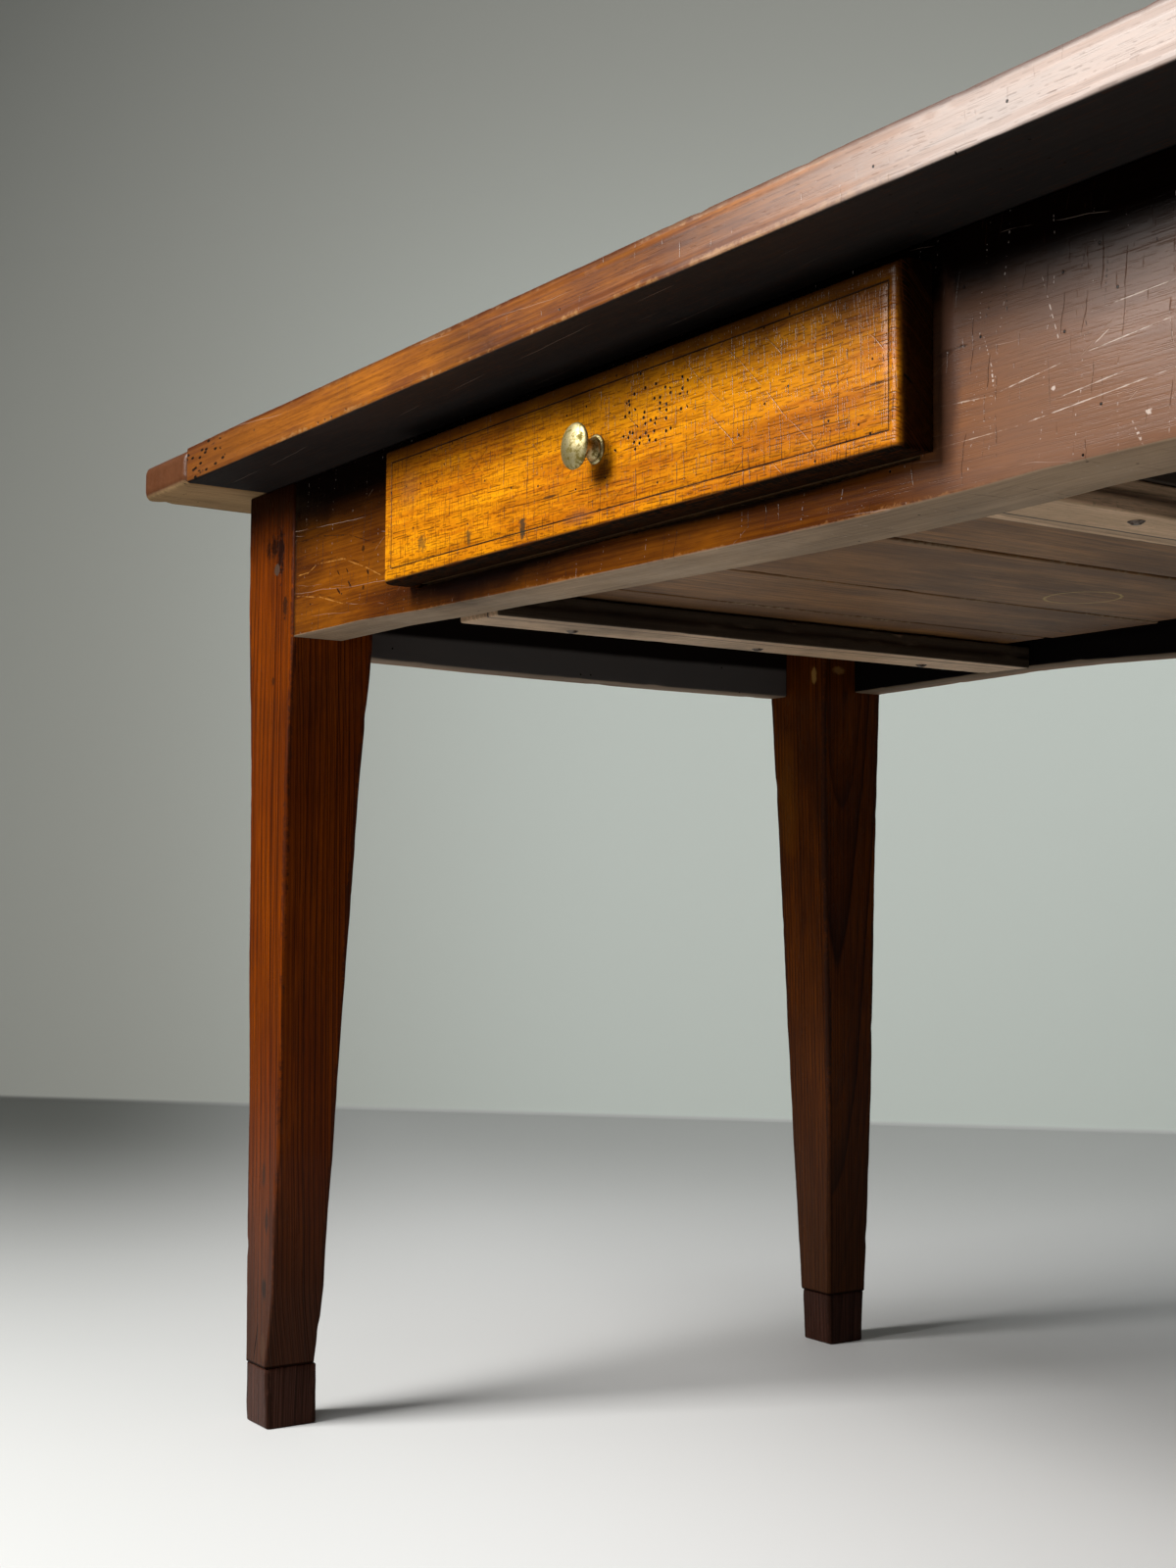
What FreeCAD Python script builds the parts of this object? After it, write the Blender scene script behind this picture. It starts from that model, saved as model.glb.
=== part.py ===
import FreeCAD, Part
import math
import os

from FreeCAD import Vector

os.makedirs("parts", exist_ok=True)

# Farmhouse table with one drawer. X runs along the table, Y from front to
# back and Z up. The origin lies on the floor under the middle of the frame.

# Frame, in millimetres
frame_length = 1070.0
frame_depth = 614.0
table_height = 765.0
apron_height = 131.0
front_apron_thickness = 52.0
rear_apron_thickness = 32.0
rear_apron_inset = 2.0
end_apron_thickness = 28.0
end_apron_inset = 2.0
apron_edge_round = 2.0

# Top
top_thickness = 28.0
side_overhang = 68.0
end_overhang = 61.0
breadboard_width = 89.0
breadboard_corner = 9.0
top_edge_round = 2.0
board_width_shares = (0.26, 0.235, 0.225, 0.28)
edge_tongue_length = 8.0
edge_tongue_thickness = 9.0
end_tongue_length = 24.0
end_tongue_thickness = 10.0
end_tongue_setback = 28.0

# Legs
leg_width = 84.0
leg_depth = 71.0
foot_size = 43.0
leg_shoulder_height = 500.0
outer_shoulder_cut = 9.5
inner_shoulder_cut = 8.0
foot_set_in = 15.0
foot_block_height = 46.0
leg_arris_round = 4.0
foot_bevel = 1.5
foot_dowel_radius = 7.0
foot_dowel_half = 24.0

# Tenons and pegs
front_tenon_thickness = 16.0
rear_tenon_thickness = 14.0
end_tenon_thickness = 12.0
long_tenon_length = 44.0
end_tenon_length = 50.0
tenon_shoulder = 12.0
tenon_haunch = 15.0
peg_radius = 5.0
peg_sides = 8
long_peg_from_corner = 54.0
long_peg_length = 50.0
end_peg_from_corner = 45.0
end_peg_length = 34.0
end_peg_drop = 24.0
top_peg_from_corner = 54.0
top_peg_in_leg = 34.0
top_peg_on_apron = 340.0
breadboard_peg_radius = 4.0

# Drawer opening and drawer
opening_width = 504.0
opening_height = 84.0
drawer_front_width = 526.0
drawer_front_height = 94.0
drawer_front_lift = 1.0
lip_projection = 21.0
lip_gap = 0.3
front_inside_thickness = 12.0
lip_round = 8.0
lip_line_inset = 10.0
lip_line_width = 1.8
lip_line_depth = 1.4
drawer_side_gap = 1.0
drawer_rest_gap = 0.3
drawer_top_gap = 2.0
drawer_side_thickness = 14.0
drawer_back_thickness = 12.0
drawer_back_drop = 8.0
drawer_rear_gap = 38.0
bottom_board_thickness = 9.0
bottom_board_lift = 1.0
bottom_rebate_side = 7.0
bottom_rebate_front = 8.0
bottom_edge_shares = (0.0, 0.119, 0.354, 0.654, 0.863, 1.0)
bottom_overhangs = (14.0, 18.0, 10.0, 16.0, 12.0)
bottom_open_seam = 3.0
open_seam_board = 3

# Dovetails of the drawer
front_tail_length = 18.0
half_pin_root = 12.0
half_pin_tip = 8.0
middle_pin_root = 16.0
middle_pin_tip = 8.0
rear_half_pin_root = 9.0
rear_half_pin_tip = 6.0

# Runners, guides and nails
runner_lift = 5.0
runner_thickness = 18.0
runner_width = 54.0
runner_under_drawer = 24.0
runner_housing = 8.0
guide_gap = 0.5
guide_height = 70.0
runner_nail_shank = 4.0
runner_nail_length = 44.0
runner_nail_head = 5.0
runner_nail_head_height = 1.6
runner_nail_count = 3
drawer_nail_shank = 2.2
drawer_nail_length = 26.0
drawer_nail_head = 3.0
drawer_nail_head_height = 0.9
drawer_side_nail_count = 4
nail_head_sides = 8
nails_per_board_shares = (0.3, 0.7)

# Knob
knob_disc_radius = 14.0
knob_rim_distance = 14.0
knob_rim_thickness = 1.8
knob_dome_height = 3.6
knob_neck_radius = 5.0
knob_foot_radius = 7.4
knob_flare_share = 1.3
knob_waist_share = 0.6
collar_radius = 9.0
collar_bore_radius = 3.0
collar_thickness = 1.6
knob_post_radius = 2.5
knob_post_fit = 0.02
knob_post_in_knob = 9.0
knob_post_past_nut = 3.0
knob_nut_size = 11.0
knob_nut_thickness = 4.5

# Every cut runs this far past the face that it starts from
overrun = 2.0

# Places worked out from the sizes above
half_length = frame_length / 2
half_depth = frame_depth / 2
top_under = table_height - top_thickness
apron_bottom = top_under - apron_height
runner_under = apron_bottom + runner_lift
opening_bottom = runner_under + runner_thickness
opening_top = opening_bottom + opening_height
leg_inner_x = half_length - leg_width
leg_inner_y = half_depth - leg_depth
front_face = -half_depth
front_apron_back = front_face + front_apron_thickness
rear_apron_face = half_depth - rear_apron_inset
rear_apron_front = rear_apron_face - rear_apron_thickness
end_apron_face = half_length - end_apron_inset
end_apron_inside = end_apron_face - end_apron_thickness
front_tenon_y = front_face + front_apron_thickness / 2
rear_tenon_y = rear_apron_face - rear_apron_thickness / 2
end_tenon_x = end_apron_face - end_apron_thickness / 2
tenon_low = apron_bottom + tenon_shoulder
tenon_high = top_under - tenon_haunch
peg_height = apron_bottom + apron_height / 2
top_half_length = half_length + end_overhang
top_half_width = half_depth + side_overhang
board_half_length = top_half_length - breadboard_width
top_middle = top_under + top_thickness / 2

box_half = opening_width / 2 - drawer_side_gap
side_inside = box_half - drawer_side_thickness
box_bottom = opening_bottom + drawer_rest_gap
box_top = opening_top - drawer_top_gap
front_back = front_face + front_inside_thickness
box_rear = rear_apron_front - drawer_rear_gap
back_front = box_rear - drawer_back_thickness
board_under = box_bottom + bottom_board_lift
board_top = board_under + bottom_board_thickness
rebate_half = side_inside + bottom_rebate_side
lip_front = front_face - lip_projection
lip_bottom = opening_bottom + drawer_front_lift
knob_height = lip_bottom + drawer_front_height / 2
runner_inner = box_half + drawer_side_gap - runner_under_drawer
runner_outer = runner_inner + runner_width
guide_inner = opening_width / 2 + guide_gap


def block(x0, x1, y0, y1, z0, z1):
    """A box between two corners, with its edges along X, Y and Z."""
    return Part.makeBox(x1 - x0, y1 - y0, z1 - z0, Vector(x0, y0, z0))


def rod(radius, start, end):
    """A round rod between two points."""
    along = end - start
    return Part.makeCylinder(radius, along.Length, start, along)


def peg(radius, start, end):
    """A hand-split peg between two points along one axis, with flat facets.

    Two facets lie level with the first axis across the peg.
    """
    along = (end - start).normalize()
    across = Vector(0, 0, 1) if abs(along.z) < 0.5 else Vector(1, 0, 0)
    side = along.cross(across)
    points = []
    for index in range(peg_sides + 1):
        angle = 2 * math.pi * (index + 0.5) / peg_sides
        points.append(start + across * (radius * math.cos(angle)) + side * (radius * math.sin(angle)))
    return Part.Face(Part.makePolygon(points)).extrude(end - start)


def flip_x(shape):
    """The same shape on the other side of the middle, left for right."""
    return shape.mirror(Vector(0, 0, 0), Vector(1, 0, 0))


def flip_y(shape):
    """The same shape on the other side of the middle, front for back."""
    return shape.mirror(Vector(0, 0, 0), Vector(0, 1, 0))


def mirrored_pair(shape):
    """A shape and its left-for-right twin."""
    return [shape, flip_x(shape)]


def cut_all(shape, tools):
    """The shape less every tool."""
    for tool in tools:
        shape = shape.cut(tool)
    return shape


def edges_where(shape, test):
    """The edges whose two ends and middle all pass a test on the point."""
    chosen = []
    for edge in shape.Edges:
        points = [vertex.Point for vertex in edge.Vertexes]
        points.append(edge.valueAt((edge.FirstParameter + edge.LastParameter) / 2))
        if all(test(point) for point in points):
            chosen.append(edge)
    return chosen


def near(value, target):
    """True where two lengths are the same to within rounding."""
    return abs(value - target) < 0.001 * overrun


def export(node, shape):
    """Write one sub-part, one file for its solid or solids."""
    shape.exportStep("parts/" + node + ".step")


# Pegs and their holes

def long_peg(front, extra=0.0):
    """The peg through a leg and the tenon of a front or rear apron, on the left."""
    x = -half_length + long_peg_from_corner
    face, sign = (-half_depth, 1) if front else (half_depth, -1)
    start = Vector(x, face - sign * extra, peg_height)
    return start, Vector(x, face + sign * long_peg_length, peg_height)


def end_peg(front, extra=0.0):
    """The peg through a leg and the tenon of the left end apron."""
    y = half_depth - end_peg_from_corner
    y = -y if front else y
    height = peg_height - end_peg_drop
    start = Vector(-half_length - extra, y, height)
    return start, Vector(-half_length + end_peg_length, y, height)


def tenon_peg_lines(extra=0.0):
    """Both ends of each peg of the two left legs."""
    lines = []
    for front in (True, False):
        lines.append(long_peg(front, extra))
        lines.append(end_peg(front, extra))
    return lines


def tenon_peg_shapes(radius, extra=0.0):
    """The pegs of all four legs, or the drills for them."""
    shapes = []
    for start, end in tenon_peg_lines(extra):
        shapes.extend(mirrored_pair(peg(radius, start, end)))
    return shapes


def top_peg_places():
    """Where pegs go down through the top, into the legs and the long aprons."""
    x_leg = half_length - top_peg_from_corner
    y_leg = half_depth - top_peg_from_corner
    places = []
    for x in (-x_leg, x_leg):
        places.append((x, -y_leg))
        places.append((x, y_leg))
    for x in (-top_peg_on_apron, top_peg_on_apron):
        places.append((x, front_tenon_y))
        places.append((x, rear_tenon_y))
    return places


def top_peg_shapes(radius, extra=0.0):
    """The pegs that hold the top down, or the drills for them."""
    low = top_under - top_peg_in_leg
    high = table_height + extra
    return [peg(radius, Vector(x, y, low), Vector(x, y, high)) for x, y in top_peg_places()]


def board_edges():
    """The Y places of the joints between the top boards, front edge to rear edge."""
    edges = [-top_half_width]
    for share in board_width_shares:
        edges.append(edges[-1] + share * 2 * top_half_width)
    return edges


def breadboard_peg_shapes(radius, extra=0.0):
    """The pegs that hold the boards' end tongues in both breadboard ends."""
    edges = board_edges()
    x = board_half_length + end_tongue_length / 2
    shapes = []
    for y0, y1 in zip(edges, edges[1:]):
        y = (y0 + y1) / 2
        start = Vector(x, y, top_under - extra)
        shapes.extend(mirrored_pair(peg(radius, start, Vector(x, y, table_height + extra))))
    return shapes


# Top

def end_tongue_limits():
    """The Y reach of the end tongues and of the groove that takes them."""
    return -top_half_width + end_tongue_setback, top_half_width - end_tongue_setback


def end_tongue(x0, x1):
    """The full row of end tongues as one slab between two X places."""
    y0, y1 = end_tongue_limits()
    half = end_tongue_thickness / 2
    return block(x0, x1, y0, y1, top_middle - half, top_middle + half)


def edge_tongue(y):
    """The tongue that a board's rear edge puts into the next board at Y."""
    half = edge_tongue_thickness / 2
    return block(-board_half_length, board_half_length, y, y + edge_tongue_length,
                 top_middle - half, top_middle + half)


def top_board(index):
    """One board of the top, with its tongues and its groove."""
    edges = board_edges()
    y0, y1 = edges[index], edges[index + 1]
    board = block(-board_half_length, board_half_length, y0, y1, top_under, table_height)
    outer_edge = {0: y0, len(board_width_shares) - 1: y1}.get(index)
    if outer_edge is not None:
        rim = edges_where(board, lambda p: near(p.y, outer_edge) and near(p.z, table_height))
        board = board.makeFillet(top_edge_round, rim)
    strip = block(-top_half_length, top_half_length, y0, y1, top_under, table_height)
    reach = board_half_length + end_tongue_length
    board = board.fuse(end_tongue(-reach, reach).common(strip))
    if index < len(board_width_shares) - 1:
        board = board.fuse(edge_tongue(y1))
    if index > 0:
        board = board.cut(edge_tongue(y0))
    drills = top_peg_shapes(peg_radius, overrun)
    drills += breadboard_peg_shapes(breadboard_peg_radius, overrun)
    return cut_all(board.removeSplitter(), drills)


def breadboard_end():
    """The cross board at the right end of the top, grooved for the end tongues."""
    board = block(board_half_length, top_half_length, -top_half_width, top_half_width,
                  top_under, table_height)
    corners = edges_where(board, lambda p: near(p.x, top_half_length) and near(abs(p.y), top_half_width))
    board = board.makeFillet(breadboard_corner, corners)
    rim = edges_where(board, lambda p: near(p.z, table_height) and p.x > board_half_length + overrun
                      or near(p.z, table_height) and near(abs(p.y), top_half_width))
    board = board.makeFillet(top_edge_round, rim)
    board = board.cut(end_tongue(board_half_length - overrun, board_half_length + end_tongue_length))
    return cut_all(board, breadboard_peg_shapes(breadboard_peg_radius, overrun))


# Legs

def between(height, stations):
    """The value at a height on a chain of straight lines through (height, value) stations."""
    for (low, low_value), (high, high_value) in zip(stations, stations[1:]):
        if height <= high:
            return low_value + (high_value - low_value) * (height - low) / (high - low)
    return stations[-1][1]


def leg_stations(foot_value, shoulder_value, head_value):
    """The heights where an edge of the leg turns, each with the edge's place there."""
    return [(0.0, foot_value), (leg_shoulder_height, shoulder_value),
            (apron_bottom, head_value), (top_under, head_value)]


def outer_edge():
    """How far the leg's outer end face lies inside the frame's end, by height."""
    return leg_stations(foot_set_in, outer_shoulder_cut, 0.0)


def inner_edge():
    """How far the leg's inner end face lies inside the frame's end, by height."""
    return leg_stations(foot_set_in + foot_size, leg_width - inner_shoulder_cut, leg_width)


def front_edge():
    """The leg's outside face to the front or back, level with the frame at every height."""
    return [(0.0, 0.0), (top_under, 0.0)]


def back_edge():
    """The leg's size from front to back, full at the apron and tapering to the floor."""
    return [(0.0, foot_size), (apron_bottom, leg_depth), (top_under, leg_depth)]


def leg_profile(low, high, bevel, outer, inner):
    """The leg seen from one side between two heights.

    outer and inner are stations of its two edges. bevel eases both lower
    corners.
    """
    turns = {height for height, _ in outer + inner if low + bevel < height < high}
    heights = sorted(turns | {low + bevel, high})
    points = [(between(height, inner), height) for height in heights]
    points += [(between(height, outer), height) for height in reversed(heights)]
    if bevel > 0:
        points += [(between(low, outer) + bevel, low), (between(low, inner) - bevel, low)]
    return points + points[:1]


def tapered_post(low, high, bevel=0.0):
    """A length of the front left leg: two profiles, crossed, with the outer arris eased."""
    front_view = leg_profile(low, high, bevel, outer_edge(), inner_edge())
    side_view = leg_profile(low, high, bevel, front_edge(), back_edge())
    along_y = Part.makePolygon([Vector(d - half_length, -half_depth, z) for d, z in front_view])
    along_x = Part.makePolygon([Vector(-half_length, d - half_depth, z) for d, z in side_view])
    post = Part.Face(along_y).extrude(Vector(0, leg_depth, 0))
    post = post.common(Part.Face(along_x).extrude(Vector(leg_width, 0, 0))).removeSplitter()
    arris = edges_where(post, lambda p: near(p.y, -half_depth)
                        and near(p.x, between(p.z, outer_edge()) - half_length))
    return post.makeFillet(leg_arris_round, arris)


def foot_dowel():
    """The dowel that joins the front left foot block to its leg."""
    joint = foot_block_height
    x = -half_length + (between(joint, outer_edge()) + between(joint, inner_edge())) / 2
    y = -half_depth + between(joint, back_edge()) / 2
    return peg(foot_dowel_radius, Vector(x, y, joint - foot_dowel_half),
               Vector(x, y, joint + foot_dowel_half))


def leg(front):
    """A left leg with its mortises, peg holes and dowel hole."""
    post = tapered_post(foot_block_height, top_under).cut(foot_dowel())
    post = post if front else flip_y(post)
    tenons = front_apron_tenons() if front else rear_apron_tenons()
    post = cut_all(post, tenons + end_apron_tenons())
    post = cut_all(post, tenon_peg_shapes(peg_radius, overrun))
    return cut_all(post, top_peg_shapes(peg_radius, overrun))


def foot_block():
    """The spliced block under the front left leg, its sole edges bevelled."""
    return tapered_post(0.0, foot_block_height, foot_bevel).cut(foot_dowel())


# Aprons

def long_apron_tenons(y_middle, thickness):
    """The two end tenons of a front or rear apron."""
    half = thickness / 2
    reach = leg_inner_x + long_tenon_length
    right = block(leg_inner_x, reach, y_middle - half, y_middle + half, tenon_low, tenon_high)
    return mirrored_pair(right)


def front_apron_tenons():
    """The tenons of the front apron."""
    return long_apron_tenons(front_tenon_y, front_tenon_thickness)


def rear_apron_tenons():
    """The tenons of the rear apron."""
    return long_apron_tenons(rear_tenon_y, rear_tenon_thickness)


def end_apron_tenons():
    """The tenons of the left end apron, front and rear."""
    half = end_tenon_thickness / 2
    reach = leg_inner_y + end_tenon_length
    rear = block(-end_tenon_x - half, -end_tenon_x + half, leg_inner_y, reach, tenon_low, tenon_high)
    return [rear, flip_y(rear)]


def ease_lower_edge(board, y):
    """Round the lower outside edge of a long apron."""
    edge = edges_where(board, lambda p: near(p.y, y) and near(p.z, apron_bottom))
    return board.makeFillet(apron_edge_round, edge)


def runner_housings():
    """The space of both runners where they enter the aprons."""
    return mirrored_pair(runner_blank())


def drill_apron(board):
    """Take the peg holes out of a long apron."""
    board = cut_all(board, tenon_peg_shapes(peg_radius, overrun))
    return cut_all(board, top_peg_shapes(peg_radius, overrun))


def apron_front():
    """The thick front apron with the drawer opening cut through it."""
    board = block(-leg_inner_x, leg_inner_x, front_face, front_apron_back, apron_bottom, top_under)
    board = ease_lower_edge(board, front_face)
    half = opening_width / 2
    board = board.cut(block(-half, half, front_face - overrun, front_apron_back + overrun,
                            opening_bottom, opening_top))
    for tenon in front_apron_tenons():
        board = board.fuse(tenon)
    return drill_apron(cut_all(board.removeSplitter(), runner_housings()))


def apron_rear():
    """The rear apron, housed for the runners' rear ends."""
    board = block(-leg_inner_x, leg_inner_x, rear_apron_front, rear_apron_face, apron_bottom, top_under)
    board = ease_lower_edge(board, rear_apron_face)
    for tenon in rear_apron_tenons():
        board = board.fuse(tenon)
    return drill_apron(cut_all(board.removeSplitter(), runner_housings()))


def apron_end():
    """The left end apron between the two left legs."""
    board = block(-end_apron_face, -end_apron_inside, -leg_inner_y, leg_inner_y,
                  apron_bottom, top_under)
    for tenon in end_apron_tenons():
        board = board.fuse(tenon)
    return cut_all(board.removeSplitter(), tenon_peg_shapes(peg_radius, overrun))


# Nails

def octagon(radius, x, y, z):
    """A small polygon outline for a nail head, flat on top."""
    turn = 2 * math.pi / nail_head_sides
    points = []
    for index in range(nail_head_sides + 1):
        angle = turn * (index + 0.5)
        points.append(Vector(x + radius * math.cos(angle), y + radius * math.sin(angle), z))
    return Part.makePolygon(points)


def nail_shank(x, y, z, shank, length):
    """The square shank of a nail driven upwards from a height."""
    half = shank / 2
    return block(x - half, x + half, y - half, y + half, z, z + length)


def proud_nail(x, y, z):
    """A runner nail whose faceted head stands below the wood."""
    head = Part.makeLoft([octagon(runner_nail_head, x, y, z),
                          octagon(runner_nail_head / 2, x, y, z - runner_nail_head_height)], True, True)
    return head.fuse(nail_shank(x, y, z, runner_nail_shank, runner_nail_length)).removeSplitter()


def flush_nail(x, y):
    """A drawer nail whose flat head lies level with the underside of the boards."""
    outline = octagon(drawer_nail_head, x, y, board_under)
    head = Part.Face(outline).extrude(Vector(0, 0, drawer_nail_head_height))
    return head.fuse(nail_shank(x, y, board_under, drawer_nail_shank, drawer_nail_length)).removeSplitter()


# Runners and guides

def runner_blank():
    """The right runner with its ends let into both long aprons."""
    return block(runner_inner, runner_outer, front_apron_back - runner_housing,
                 rear_apron_front + runner_housing, runner_under, opening_bottom)


def guide_blank():
    """The right guide, on the runner beside the drawer."""
    return block(guide_inner, runner_outer, front_apron_back, rear_apron_front,
                 opening_bottom, opening_bottom + guide_height)


def runner_nail_places():
    """Where the nails go up through the right runner into the guide."""
    x = (guide_inner + runner_outer) / 2
    span = rear_apron_front - front_apron_back
    step = span / runner_nail_count
    return [(x, front_apron_back + step * (index + 0.5)) for index in range(runner_nail_count)]


def runner_nails():
    """The nails of the right runner."""
    return [proud_nail(x, y, runner_under) for x, y in runner_nail_places()]


def runner():
    """The right runner, pierced for its nails."""
    return cut_all(runner_blank(), runner_nails())


def guide():
    """The right guide, pierced for the nails that hold it to the runner."""
    return cut_all(guide_blank(), runner_nails())


# Drawer

def pin_prism(y_root, y_tip, root, tip):
    """The space of one dovetail pin in the right drawer side.

    root and tip are the low and high edges of the pin where the tails start
    and where they end.
    """
    points = [(y_root, root[0]), (y_tip, tip[0]), (y_tip, tip[1]), (y_root, root[1]), (y_root, root[0])]
    outline = Part.makePolygon([Vector(side_inside, y, z) for y, z in points])
    return Part.Face(outline).extrude(Vector(drawer_side_thickness, 0, 0))


def dovetail_pins(y_root, y_tip, low, high, half_root, half_tip):
    """The half pins at both edges and the middle pin between two tails."""
    middle = (low + high) / 2
    root, tip = middle_pin_root / 2, middle_pin_tip / 2
    return [
        pin_prism(y_root, y_tip, (low, low + half_root), (low, low + half_tip)),
        pin_prism(y_root, y_tip, (middle - root, middle + root), (middle - tip, middle + tip)),
        pin_prism(y_root, y_tip, (high - half_root, high), (high - half_tip, high)),
    ]


def bottom_rebate():
    """The rebate under the drawer's front and sides that takes the bottom boards."""
    reach = box_rear + max(bottom_overhangs)
    return block(-rebate_half, rebate_half, front_back - bottom_rebate_front, reach, box_bottom, board_top)


def drawer_side_blank():
    """The right drawer side with its tails cut at both ends."""
    side = block(side_inside, box_half, front_back - front_tail_length, box_rear, box_bottom, box_top)
    pins = dovetail_pins(front_back, front_back - front_tail_length, box_bottom, box_top,
                         half_pin_root, half_pin_tip)
    pins += dovetail_pins(back_front, box_rear, board_top, box_top - drawer_back_drop,
                          rear_half_pin_root, rear_half_pin_tip)
    return cut_all(side, pins).cut(bottom_rebate())


def lip_plate():
    """The proud part of the drawer front: rounded all round, with an incised line."""
    half = drawer_front_width / 2
    plate = block(-half, half, lip_front, front_face - lip_gap, lip_bottom, lip_bottom + drawer_front_height)
    rim = edges_where(plate, lambda p: near(p.y, lip_front))
    plate = plate.makeFillet(lip_round, rim)
    outer = line_frame(lip_line_inset - lip_line_width / 2)
    inner = line_frame(lip_line_inset + lip_line_width / 2)
    return plate.cut(outer.cut(inner))


def line_frame(inset):
    """A shallow slab over the drawer's face, held in from its edges."""
    half = drawer_front_width / 2 - inset
    return block(-half, half, lip_front - overrun, lip_front + lip_line_depth,
                 lip_bottom + inset, lip_bottom + drawer_front_height - inset)


def drawer_front():
    """The lipped drawer front, socketed for the tails and drilled for the knob."""
    inside = block(-box_half, box_half, front_face - lip_gap, front_back, box_bottom, box_top)
    front = lip_plate().fuse(inside).removeSplitter()
    front = cut_all(front, mirrored_pair(drawer_side_blank()))
    front = front.cut(bottom_rebate())
    drill = rod(knob_post_radius + knob_post_fit, Vector(0, lip_front - overrun, knob_height),
                Vector(0, front_back + overrun, knob_height))
    return cut_all(front.cut(drill), drawer_nail_shapes())


def drawer_side():
    """The right drawer side, pierced for the nails of the bottom boards."""
    return cut_all(drawer_side_blank(), drawer_nail_shapes())


def drawer_back():
    """The drawer back, over the bottom boards, pinned between the sides' tails."""
    back = block(-box_half, box_half, back_front, box_rear, board_top, box_top - drawer_back_drop)
    back = cut_all(back, mirrored_pair(drawer_side_blank()))
    return cut_all(back, drawer_nail_shapes())


def bottom_edges():
    """The X places of the seams between the bottom boards, left to right."""
    return [-rebate_half + share * 2 * rebate_half for share in bottom_edge_shares]


def drawer_nail_places():
    """Where the bottom boards are nailed to the front, the back and the sides."""
    places = []
    front_row = front_back - bottom_rebate_front / 2
    rear_row = (back_front + box_rear) / 2
    edges = bottom_edges()
    for x0, x1 in zip(edges, edges[1:]):
        for share in nails_per_board_shares:
            x = x0 + (x1 - x0) * share
            places.append((x, front_row))
            places.append((x, rear_row))
    step = (back_front - front_back) / drawer_side_nail_count
    for index in range(drawer_side_nail_count):
        y = front_back + step * (index + 0.5)
        for x in (-(side_inside + rebate_half) / 2, (side_inside + rebate_half) / 2):
            places.append((x, y))
    return places


def drawer_nail_shapes():
    """Every nail of the drawer bottom."""
    return [flush_nail(x, y) for x, y in drawer_nail_places()]


def drawer_bottom_board(index):
    """One bottom board, running from the front to past the drawer back."""
    edges = bottom_edges()
    x0 = edges[index]
    x1 = edges[index + 1]
    if index == open_seam_board:
        x0 += bottom_open_seam
    board = block(x0, x1, front_back - bottom_rebate_front, box_rear + bottom_overhangs[index],
                  board_under, board_top)
    return cut_all(board, drawer_nail_shapes())


# Knob

def turned(points):
    """A solid turned about the knob's axis from (radius, distance from the face) points."""
    outline = Part.makePolygon([Vector(r, lip_front - out, knob_height) for r, out in points])
    return Part.Face(outline).revolve(Vector(0, 0, knob_height), Vector(0, 1, 0), 360)


def knob():
    """The mushroom knob: a domed disc on a waisted stem, turned in one piece."""
    base = collar_thickness
    rim = knob_rim_distance
    edge_out = rim + knob_rim_thickness
    crown = edge_out + knob_dome_height
    flare = knob_neck_radius * knob_flare_share
    ball = (knob_disc_radius ** 2 + knob_dome_height ** 2) / (2 * knob_dome_height)
    half_turn = math.asin(knob_disc_radius / ball) / 2
    at = lambda radius, out: Vector(radius, lip_front - out, knob_height)
    waist = Part.Arc(at(knob_foot_radius, base), at(knob_neck_radius, (base + rim) * knob_waist_share),
                     at(flare, rim)).toShape()
    under = Part.makeLine(at(flare, rim), at(knob_disc_radius, rim))
    edge = Part.makeLine(at(knob_disc_radius, rim), at(knob_disc_radius, edge_out))
    dome = Part.Arc(at(knob_disc_radius, edge_out),
                    at(ball * math.sin(half_turn), crown - ball * (1 - math.cos(half_turn))),
                    at(0, crown)).toShape()
    axis = Part.makeLine(at(0, crown), at(0, base))
    foot = Part.makeLine(at(0, base), at(knob_foot_radius, base))
    outline = Part.Wire([waist, under, edge, dome, axis, foot])
    solid = Part.Face(outline).revolve(Vector(0, 0, knob_height), Vector(0, 1, 0), 360)
    return solid.cut(knob_post(knob_post_radius + knob_post_fit))


def knob_collar():
    """The thin ring between the knob and the drawer front."""
    return turned([(collar_bore_radius, 0.0), (collar_radius, 0.0),
                   (collar_radius, collar_thickness / 2), (knob_foot_radius, collar_thickness),
                   (collar_bore_radius, collar_thickness), (collar_bore_radius, 0.0)])


def knob_post(radius):
    """The threaded post from inside the knob to past its nut."""
    start = Vector(0, lip_front - collar_thickness - knob_post_in_knob, knob_height)
    end = Vector(0, front_back + knob_nut_thickness + knob_post_past_nut, knob_height)
    return rod(radius, start, end)


def knob_nut():
    """The square nut that draws the knob up from inside the drawer."""
    half = knob_nut_size / 2
    nut = block(-half, half, front_back, front_back + knob_nut_thickness,
                knob_height - half, knob_height + half)
    return nut.cut(knob_post(knob_post_radius + knob_post_fit))


# Files

def export_top():
    """Write the boards, the breadboard ends and their pegs."""
    for index in range(len(board_width_shares)):
        export("top_board_" + str(index + 1), top_board(index))
    right = breadboard_end()
    export("breadboard_end_right", right)
    export("breadboard_end_left", flip_x(right))
    export("breadboard_pegs", Part.makeCompound(breadboard_peg_shapes(breadboard_peg_radius)))
    export("top_pegs", Part.makeCompound(top_peg_shapes(peg_radius)))


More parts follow.
